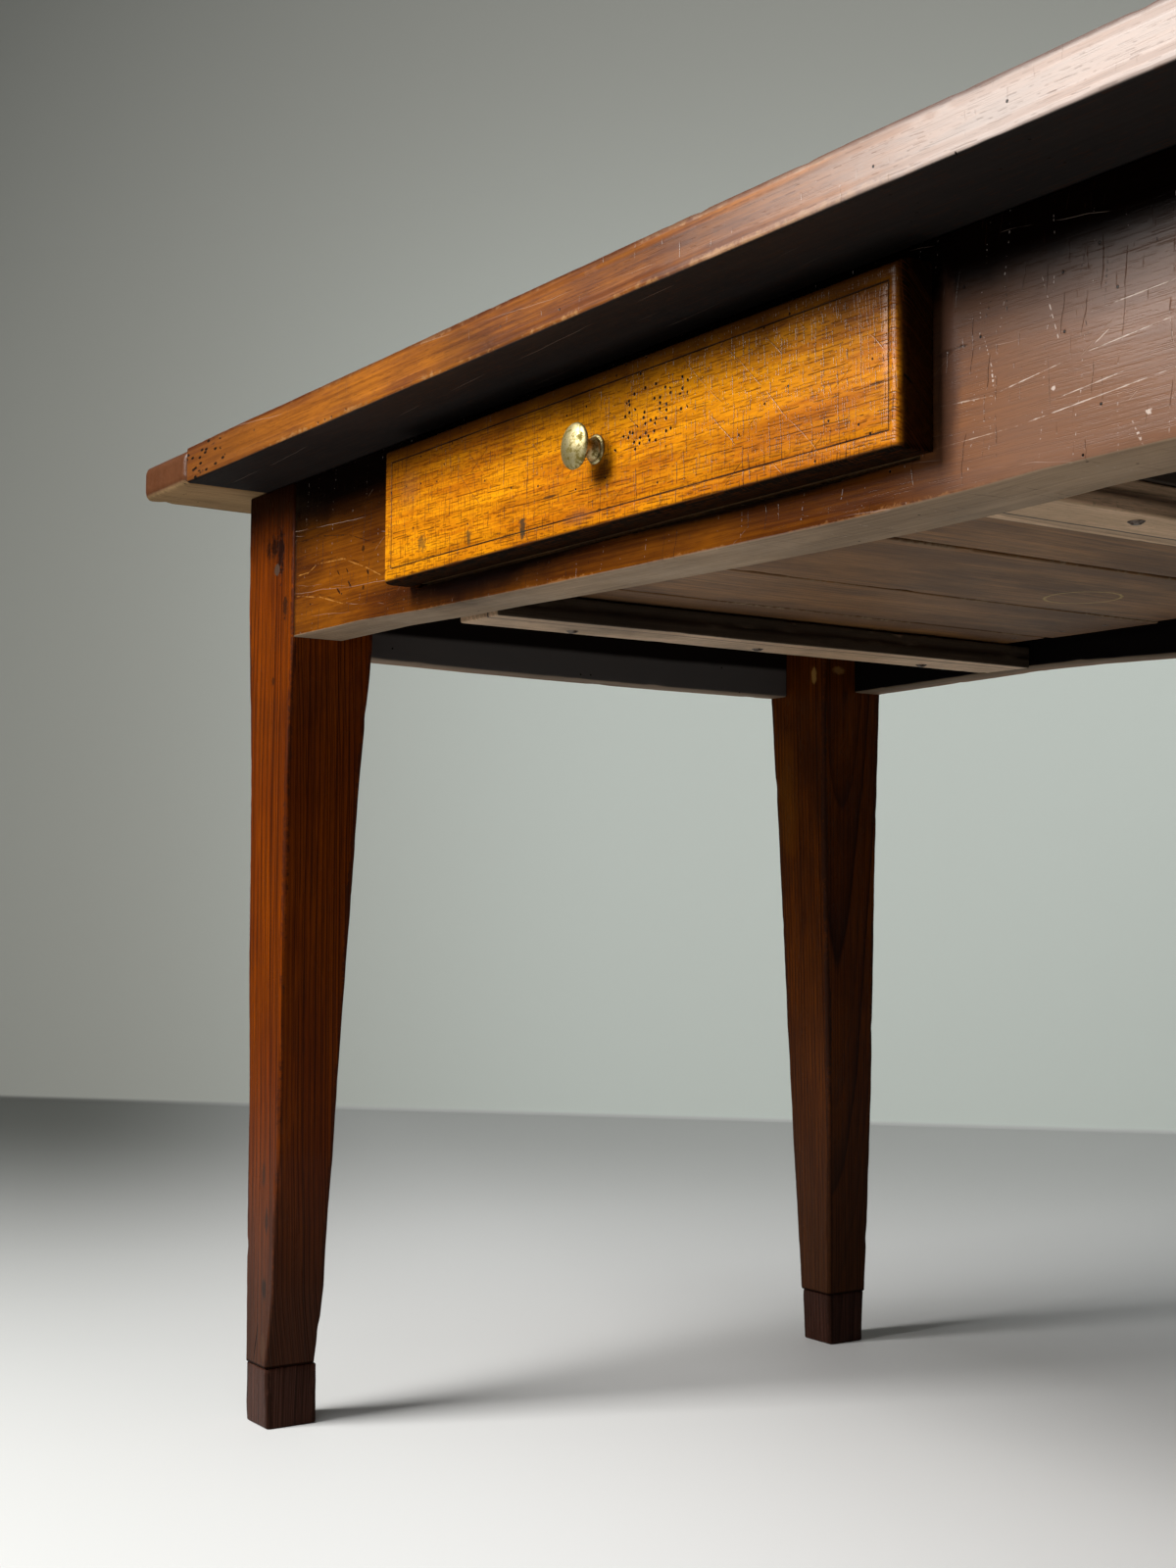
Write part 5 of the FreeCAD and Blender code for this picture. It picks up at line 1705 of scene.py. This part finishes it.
@dataclass
class Aprons:
    """The four aprons between the legs and the pegs through their tenons."""

    shop: Workshop
    leg_gap: float = 0.4 * MM
    beside_drawer: float = 1 * MM
    below_drawer: float = 0.3 * MM
    above_drawer: float = 2 * MM
    front_step: float = 5 * MM
    front_uneven: float = 0.6
    hollow: float = 0.3 * MM
    arris: float = 2.0 * MM
    end_arris: float = 1.8 * MM
    inside_fade_margin: float = 4 * MM
    seeds: tuple[int, int, int] = (41, 43, 44)
    outward: float = 0.5

    def build(self) -> int:
        """Build and finish the aprons.

        Returns:
            The number of pieces made.
        """
        self._front()
        self._rear()
        for side in ("left", "right"):
            self._end(side)
        dress_node("tenon_pegs", self.shop.made["peg wood"])
        return 4

    def _front(self) -> None:
        """The thick front apron around the drawer opening."""
        low, high = FRONT_LOW.copy(), FRONT_HIGH.copy()
        low[0], high[0] = LEG_HIGH[0] + self.leg_gap, -LEG_HIGH[0] - self.leg_gap
        box_low, box_high = span("drawer_side_right")
        half = float(box_high[0]) + self.beside_drawer
        rest = float(box_low[2])
        opening = (-half, half, rest - self.below_drawer, float(box_high[2]) + self.above_drawer)
        board = Plank("front_apron", low, high, opening=opening, face_round=self.arris,
                      uneven=self.front_uneven, seed=self.seeds[0], hollow=self.hollow, step=self.front_step,
                      bow=FRONT_BOW, thinner=FRONT_THINNER, bow_height=rest - float(low[2])).build()
        left = replace(APRON_WOOD, title="apron wood left", marks=LEFT_APRON_MARKS)
        right = replace(APRON_WOOD, title="apron wood right", marks=RIGHT_APRON_MARKS)
        stand_in(board, self.shop.wood(left), "table", "apron_wood", "apron_front")
        dress_some(board, self.shop.wood(right), face_vectors(board, "center")[:, 0] > 0)

    def _rear(self) -> None:
        """The rear apron, its inner face painted near black as shade."""
        low, high = span("apron_rear")
        low[0], high[0] = LEG_HIGH[0], -LEG_HIGH[0]
        piece = Timber("rear_apron", low, high, Along.X, round_over=self.arris, seed=self.seeds[1],
                       insets=(Inset(Along.Z, False, REAR_BOW),))
        # Painted shade: the inner face near black.
        inside = (1, float(high[1]) - self.inside_fade_margin, float(low[1]) + self.inside_fade_margin,
                  (0.005, 0.004, 0.004), 1.0)
        finish = replace(APRON_WOOD, title="rear apron wood", pith=(0.40, 0.62), strokes=(),
                         under_share=0.5, fades=(inside,), wear=0.1)
        stand_in(piece.build(), self.shop.wood(finish), "table", "apron_wood", "apron_rear")

    def _end(self, side: str) -> None:
        """An end apron: brown outside with painted shade along its top, and inside painted near-black shade
        above a bare band.

        Args:
            side: Left or right.
        """
        low, high = span(f"apron_{side}")
        rear_leg = span(f"leg_rear_{side}")[0]
        low[1], high[1] = LEG_HIGH[1], rear_leg[1]
        sign = 1 if side == "left" else -1
        outer, inner = (low[0], high[0]) if side == "left" else (high[0], low[0])
        insets = (Inset(Along.Z, False, END_BOW),)
        if side == "left":
            insets += (Inset(Along.X, False, LEFT_SLANT),)
        board = Timber(f"end_apron_{side}", low, high, Along.Y, round_over=self.end_arris,
                       seed=self.seeds[2], insets=insets).build()
        plain = replace(APRON_WOOD, grain=Along.Y, pith=(0.60, sign * 0.30), strokes=())
        stain = (0, float(outer) + sign * self.inside_fade_margin, float(inner) - sign * self.inside_fade_margin,
                 (0.110, 0.100, 0.096), 0.97)
        # Painted shade: the inner face near black above the bare band.
        inside = replace(plain, title=f"end apron wood {side}", under_share=0.6, wear=0.3,
                         worn=(0.14, 0.13, 0.12), fades=(stain, (2, 0.6285, 0.6335, BLACK, 0.95)))
        # Painted shade under the top's overhang: the outer face near black along its top.
        outside = replace(plain, title=f"end apron outside {side}",
                          fades=((2, 0.695, 0.735, (0.003, 0.001, 0.0004), 0.9),))
        stand_in(board, self.shop.wood(inside), "table", "apron_wood", f"apron_{side}")
        dress_some(board, self.shop.wood(outside), face_vectors(board, "normal")[:, 0] * sign < -self.outward)


@dataclass
class Drawer:
    """The drawer: lipped front, dovetailed box, boarded bottom and knob."""

    shop: Workshop
    body: str = "drawer"
    lip_gap: float = 0.3 * MM
    lip_lift: float = 0.7 * MM
    lip_round: float = 7 * MM
    line_inset: float = 10 * MM
    line_width: float = 0.36 * MM
    line_depth: float = 0.5 * MM
    lip_uneven: float = 0.4
    lip_step: float = 5 * MM
    sharp_left: float = 3.2
    sharp_below: float = 2.8
    sharp_above: float = 2.6
    inside_lap: float = 0.5 * MM
    inside_lift: float = 1.6 * MM
    inside_arris: float = 0.8 * MM
    hollow: float = 0.3 * MM
    bottoms: int = 5
    bottom_trim: float = 1.7 * MM
    bottom_arris: float = 1.4 * MM
    bottom_step: float = 8 * MM
    seeds: tuple[int, int, int] = (51, 52, 60)
    crown_height: float = 5.4 * MM
    crown_edge: float = 1.8 * MM
    crown_rise: float = 3.6 * MM
    axis_gap: float = 0.01 * MM

    def build(self) -> int:
        """Build and finish the drawer.

        Returns:
            The number of pieces made.
        """
        self._front()
        inner = self.shop.wood(replace(INNER_WOOD, title="drawer side wood", pith=(0.30, 0.60),
                                       grain=Along.Y))
        back = self.shop.wood(replace(INNER_WOOD, title="drawer back wood", pith=(0.30, 0.60)))
        for node in ("drawer_side_left", "drawer_side_right"):
            dress_node(node, inner)
        dress_node("drawer_back", back)
        for index in range(1, self.bottoms + 1):
            self._bottom(index)
        iron = self.shop.metal("dark iron", (0.16, 0.13, 0.11), (0.05, 0.03, 0.02), 0.7, 0.5)
        for node in ("drawer_nails", "runner_nails", "knob_post", "knob_nut"):
            dress_node(node, iron)
        self._knob()
        return 8

    def _front(self) -> None:
        """The lip with its rounded edges and incised line, and the board behind it."""
        low, high = span("drawer_front")
        side_low, side_high = span("drawer_side_right")
        lip = Plank("drawer_lip", np.array([low[0], low[1], side_low[2] + self.lip_lift]),
                    np.array([high[0], FACE - self.lip_gap, high[2]]), face_round=self.lip_round,
                    line_inset=self.line_inset, line_width=self.line_width, line_depth=self.line_depth,
                    uneven=self.lip_uneven, seed=self.seeds[0], step=self.lip_step, hollow=self.hollow,
                    sharp_left=self.sharp_left, sharp_below=self.sharp_below, sharp_above=self.sharp_above)
        inside = Timber("drawer_front_inside",
                        np.array([-side_high[0], FACE - self.inside_lap, side_low[2] + self.inside_lift]),
                        np.array([side_high[0], high[1], side_high[2]]), Along.X,
                        round_over=self.inside_arris, seed=self.seeds[1], chips=0.0)
        wood = self.shop.wood(DRAWER_WOOD)
        stand_in(lip.build(), wood, self.body, "drawer_front_wood", "drawer_front")
        piece = inside.build()
        dress(piece, self.shop.wood(replace(INNER_WOOD, title="drawer front inside wood", pith=(-0.3, 0.6))))
        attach(piece, self.body)

    def _bottom(self, index: int) -> None:
        """One bottom board, its edges a little crooked.

        Args:
            index: Its number.
        """
        node = f"drawer_bottom_{index}"
        low, high = span(node)
        low[0], high[0] = low[0] + self.bottom_trim, high[0] - self.bottom_trim
        piece = Timber(f"bottom_board_{index}", low, high, Along.Y, round_over=self.bottom_arris,
                       seed=self.seeds[2] + index, hollow=self.hollow, step=self.bottom_step)
        finish = replace(INNER_WOOD, title=f"bottom board wood {index}", grain=Along.Y,
                         light=(0.33, 0.150, 0.042), dark=(0.120, 0.053, 0.016), line=(0.035, 0.015, 0.006),
                         pith=(0.60 + 0.02 * index, 0.10 * index - 0.33), marks=BOTTOM_MARKS.get(index, ()))
        stand_in(piece.build(), self.shop.wood(finish), self.body, "inner_wood", node)

    def _knob(self) -> None:
        """The mushroom knob and its collar, turned with soft edges."""
        low, high = span("knob")
        collar_low, collar_high = span("knob_collar")
        centre = np.array([0.0, collar_high[1], (low[2] + high[2]) / 2])
        disc = float(high[0] - low[0]) / 2
        crown = float(collar_high[1] - low[1])
        thin = float(collar_high[1] - collar_low[1])
        rim = crown - self.crown_height
        outline = [(0.0, thin), (7.2 * MM, thin), (7.4 * MM, thin + 0.4 * MM), (6.6 * MM, thin + 1.6 * MM),
                   (5.5 * MM, thin + 4 * MM), (5.0 * MM, thin + 7 * MM), (5.3 * MM, rim - 1.6 * MM),
                   (6.6 * MM, rim - 0.3 * MM), (disc - 1.2 * MM, rim), (disc - 0.3 * MM, rim + 0.3 * MM),
                   (disc, rim + 0.9 * MM), (disc - 0.3 * MM, rim + 1.6 * MM)]
        shares = np.linspace(0.93, 0.02, 12)
        dome = [(disc * share, rim + self.crown_edge + self.crown_rise * (1 - share ** 2))
                for share in shares]
        profile = np.array(outline + dome)
        profile[:, 1] = np.minimum(profile[:, 1], crown)
        brass = self.shop.metal("old brass", (0.47, 0.40, 0.21), (0.17, 0.13, 0.03), 0.75, 0.44)
        knob = Turning("knob_turned", centre, profile).build()
        stand_in(knob, brass, self.body, "knob_brass", "knob")
        wide = float(collar_high[0] - collar_low[0]) / 2
        ring = np.array([(self.axis_gap, 0.02 * MM), (wide - 0.2 * MM, 0.02 * MM), (wide, 0.3 * MM),
                         (wide - 0.3 * MM, 0.9 * MM), (wide - 1.2 * MM, thin - 0.1 * MM),
                         (self.axis_gap, thin)])
        collar = Turning("collar_turned", centre, ring).build()
        stand_in(collar, brass, self.body, "knob_brass", "knob_collar")


@dataclass
class Runners:
    """The drawer's runners and guides under the top."""

    shop: Workshop
    seed: int = 70
    arris: float = 1.6 * MM
    hollow: float = 0.3 * MM
    shade_reach: tuple[float, float] = (3 * MM, 0.8 * MM)
    line_inset: float = 15 * MM
    line_reach: Place = (1.3 * MM, 2.0, 8 * MM)

    def build(self) -> int:
        """Build and finish the runners and guides.

        Returns:
            The number of pieces made.
        """
        rear = span("apron_rear")[0]
        for side in ("left", "right"):
            for title, pale in (("runner", True), ("guide", False)):
                node = f"{title}_{side}"
                low, high = span(node)
                low[1], high[1] = FRONT_HIGH[1], rear[1]
                piece = Timber(f"{title}_bar_{side}", low, high, Along.Y, round_over=self.arris,
                               seed=self.seed + len(side) + 3 * pale, hollow=self.hollow)
                finish = replace(INNER_WOOD, title=f"{title} wood {side}", grain=Along.Y, pith=(0.72, 0.25),
                                 light=(0.08, 0.055, 0.035), dark=(0.03, 0.020, 0.013))
                if pale:
                    finish = self._pale(finish, side, low, high)
                stand_in(piece.build(), self.shop.wood(finish), "table", "inner_wood", node)
        return 4

    def _pale(self, finish: WoodFinish, side: str, low: np.ndarray, high: np.ndarray) -> WoodFinish:
        """A runner's finish: pale, with painted shade on its inner side and a dark line.

        Args:
            finish: The guides' finish.
            side: The runner's side.
            low: Its lowest corner.
            high: Its highest corner.

        Returns:
            The runner's finish.
        """
        edge = float(high[0] if side == "left" else low[0])
        inward = 1 if side == "left" else -1
        line = (edge - inward * self.line_inset, 0.0, float(low[2]))
        # Painted shade: the runner darkens towards its inner side.
        start, stop = (edge - inward * reach for reach in self.shade_reach)
        return replace(finish, light=(0.98, 0.66, 0.42), dark=(0.56, 0.37, 0.22),
                       fades=((0, start, stop, (0.018, 0.014, 0.011), 0.93),),
                       marks=(Mark(line, self.line_reach, BLACK, 0.9, 0.5, 0.5),))


@dataclass(frozen=True)
class Lamp:
    """An area lamp that faces a point: size in metres, power in watts, beam in degrees."""

    title: str
    place: Place
    aim: Place
    size: tuple[float, float]
    power: float
    colour: Colour
    beam: float = 180.0

    def build(self) -> None:
        """Put the lamp into the scene."""
        data = bpy.data.lights.new(self.title, "AREA")
        data.shape = "RECTANGLE"
        data.size, data.size_y = self.size
        data.energy = self.power
        data.color = self.colour
        data.spread = math.radians(self.beam)
        lamp = bpy.data.objects.new(self.title, data)
        lamp.location = self.place
        lamp.rotation_euler = (Vector(self.aim) - Vector(self.place)).to_track_quat("-Z", "Y").to_euler()
        bpy.context.scene.collection.objects.link(lamp)


WINDOW = Lamp("window", (-0.58, -1.75, 1.75), (0.0, -0.3, 0.68), (0.80, 1.30), 60.0, (1.0, 0.985, 0.96))
CEILING = Lamp("ceiling", (0.6, -0.9, 3.6), (0.6, -0.9, 0.0), (2.6, 2.6), 46.0, (0.97, 0.99, 1.0))
WALL_WASH = Lamp("wash", (0.5, 2.9, 1.7), (-1.9, 1.6, 0.8), (1.2, 1.2), 6.0, (0.97, 1.0, 0.98), beam=70.0)


@dataclass
class Studio:
    """The camera, lamps, floor and backdrop."""

    camera_place: Place = (0.9738, -0.9877, 0.4103)
    camera_yaw: float = 56.04
    camera_pitch: float = 3.343
    camera_roll: float = 0.423
    focal_pixels: float = 2055.0
    image_long_side: int = 1600
    sensor: float = 36.0
    # Painted light and shade: the backdrop and floor colours grade from dim to bright by place, standing in
    # for the falloff of the lamps' light.
    wall_dim: Colour = (0.56, 0.57, 0.525)
    wall_mid: Colour = (0.58, 0.59, 0.54)
    wall_bright: Colour = (0.76, 0.82, 0.77)
    wall_felt: Colour = (0.25, 0.26, 0.25)
    floor_far_left: Colour = (0.20, 0.205, 0.19)
    floor_far_right: Colour = (0.58, 0.59, 0.575)
    floor_near_left: Colour = (0.76, 0.77, 0.76)
    floor_near_right: Colour = (0.985, 0.99, 0.99)
    floor_felt: Colour = (0.48, 0.48, 0.465)
    floor_skew: float = 0.458
    wall_start: tuple[float, float] = (-2.978, 0.48)
    wall_end: tuple[float, float] = (-1.518, 1.89)
    cove: float = 0.01
    wall_height: float = 6.0
    floor_depth: float = 9.0
    stage_width: float = 14.0
    cove_rise: tuple[float, float] = (0.002, 0.01)
    wall_grading: tuple[float, float] = (2.2, 0.9)
    glow_run: tuple[float, float] = (-1.1, 0.1)
    floor_run: tuple[float, float] = (-1.1, -0.4)
    floor_grading: tuple[float, float] = (-0.3, -2.5)
    stage_rough: float = 0.6
    stage_shine: float = 0.2
    lamps: tuple[Lamp, ...] = (WINDOW, CEILING, WALL_WASH)
    room_colour: Colour = (0.92, 0.97, 1.0)
    room_strength: float = 0.02

    def build(self) -> None:
        """Set the whole stage."""
        self._camera()
        self._stage()
        for lamp in self.lamps:
            lamp.build()
        self._room()

    def _camera(self) -> None:
        """The camera, turned by yaw from +Y towards -X, then pitch, then roll."""
        data = bpy.data.cameras.new("camera")
        data.sensor_width = self.sensor
        data.lens = self.focal_pixels / self.image_long_side * self.sensor
        camera = bpy.data.objects.new("camera", data)
        yaw, pitch, roll = (math.radians(v) for v in (self.camera_yaw, self.camera_pitch, self.camera_roll))
        forward = Vector((-math.sin(yaw), math.cos(yaw), 0))
        right = Vector((math.cos(yaw), math.sin(yaw), 0))
        up = Vector((0, 0, 1))
        ahead = forward * math.cos(pitch) + up * math.sin(pitch)
        above = up * math.cos(pitch) - forward * math.sin(pitch)
        side = right * math.cos(roll) + above * math.sin(roll)
        head = above * math.cos(roll) - right * math.sin(roll)
        turn = Matrix((side, head, -ahead)).transposed().to_4x4()
        camera.matrix_world = Matrix.Translation(Vector(self.camera_place)) @ turn
        bpy.context.scene.collection.objects.link(camera)
        bpy.context.scene.camera = camera

    def _stage(self) -> None:
        """A pale floor against a plain backdrop, in one sheet that bends up in a cove."""
        start, end = np.array(self.wall_start), np.array(self.wall_end)
        run = (end - start) / np.linalg.norm(end - start)
        away = np.array([-run[1], run[0]])
        middle = (start + end) / 2
        angles = np.linspace(0, math.pi / 2, 5)
        outs = np.concatenate([[-self.floor_depth], -self.cove + self.cove * np.sin(angles), [0.0]])
        heights = np.concatenate([[0.0], self.cove - self.cove * np.cos(angles), [self.wall_height]])
        across = np.linspace(-self.stage_width / 2, self.stage_width / 2, 2)
        points = np.empty((len(outs), 2, 3))
        points[..., 0] = middle[0] + outs[:, None] * away[0] + across[None, :] * run[0]
        points[..., 1] = middle[1] + outs[:, None] * away[1] + across[None, :] * run[1]
        points[..., 2] = heights[:, None]
        rows = sheet_faces(len(outs), 2, False)
        stage = make_object("studio_floor", points.reshape(-1, 3), [rows[:, ::-1]])
        dress(stage, self._stage_material(middle, run, away))

    def _stage_material(self, middle: np.ndarray, run: np.ndarray, away: np.ndarray) -> bpy.types.Material:
        """The painted light and shade of floor and backdrop: a grading by depth, height and place along the
        wall.

        Args:
            middle: The middle of the wall's foot.
            run: The direction along the wall.
            away: The direction from the floor through the wall.

        Returns:
            The material. Diffuse rays meet a plain, darker tone.
        """
        material = bpy.data.materials.new("studio")
        material.use_nodes = True
        sheet = Sheet(material.node_tree)
        shader = material.node_tree.nodes["Principled BSDF"]
        spot = sheet.put("ShaderNodeTexCoord").outputs["Object"]
        spot = sheet.put("ShaderNodeVectorMath", {0: spot, 1: (*middle, 0.0)},
                         operation="SUBTRACT").outputs[0]
        depth, sideways = (
            sheet.put("ShaderNodeVectorMath", {0: spot, 1: (*line, 0.0)}, operation="DOT_PRODUCT").outputs[1]
            for line in (away, run))
        height = sheet.put("ShaderNodeSeparateXYZ", {0: spot}).outputs[2]
        wall = sheet.remap(height, *self.cove_rise)
        low = sheet.remap(height, *self.wall_grading)
        glow = sheet.times(low, sheet.remap(sideways, *self.glow_run))
        backdrop = sheet.mix(glow, sheet.mix(low, self.wall_dim, self.wall_mid), self.wall_bright)
        skewed = sheet.plus(sideways, sheet.times(depth, self.floor_skew))
        right = sheet.remap(skewed, *self.floor_run)
        floor = sheet.mix(sheet.remap(depth, *self.floor_grading),
                          sheet.mix(right, self.floor_far_left, self.floor_far_right),
                          sheet.mix(right, self.floor_near_left, self.floor_near_right))
        seen = sheet.mix(wall, floor, backdrop)
        felt = sheet.mix(wall, self.floor_felt, self.wall_felt)
        rays = sheet.put("ShaderNodeLightPath").outputs
        path = sheet.most(rays["Is Camera Ray"], rays["Is Glossy Ray"])
        sheet.feed(shader.inputs["Base Color"], sheet.mix(path, felt, seen))
        shader.inputs["Roughness"].default_value = self.stage_rough
        shader.inputs["Specular IOR Level"].default_value = self.stage_shine
        return material

    def _room(self) -> None:
        """The dim light of the room."""
        world = bpy.data.worlds.new("room")
        bpy.context.scene.world = world
        world.use_nodes = True
        back = world.node_tree.nodes["Background"]
        back.inputs[0].default_value = (*self.room_colour, 1.0)
        back.inputs[1].default_value = self.room_strength


FIRST_LEG_SEED = 80
LEG_SEED_STEP = 7


def main() -> None:
    """Build the table's sub-assemblies in order, then the studio."""
    logging.basicConfig(level=logging.INFO, format="%(message)s")
    bpy.context.scene.view_settings.view_transform = "Standard"
    shop = Workshop()
    LOG.info("top: %d pieces", Top(shop).build())
    known = {"front left": (NEAR_LEG, NEAR_LEG_MARKS), "rear left": (FAR_LEG, FAR_LEG_MARKS)}
    seed = FIRST_LEG_SEED
    for row in ("front", "rear"):
        for side in ("left", "right"):
            shape, marks = known.get(f"{row} {side}", (PLAIN_LEG, ()))
            LOG.info("leg %s %s: %d pieces", row, side, Leg(shop, row, side, seed, shape, marks).build())
            seed += LEG_SEED_STEP
    LOG.info("aprons: %d pieces", Aprons(shop).build())
    LOG.info("runners and guides: %d pieces", Runners(shop).build())
    LOG.info("drawer: %d pieces", Drawer(shop).build())
    dress_node("foot_dowels", shop.made["peg wood"])
    Studio().build()


if __name__ == "__main__":
    main()
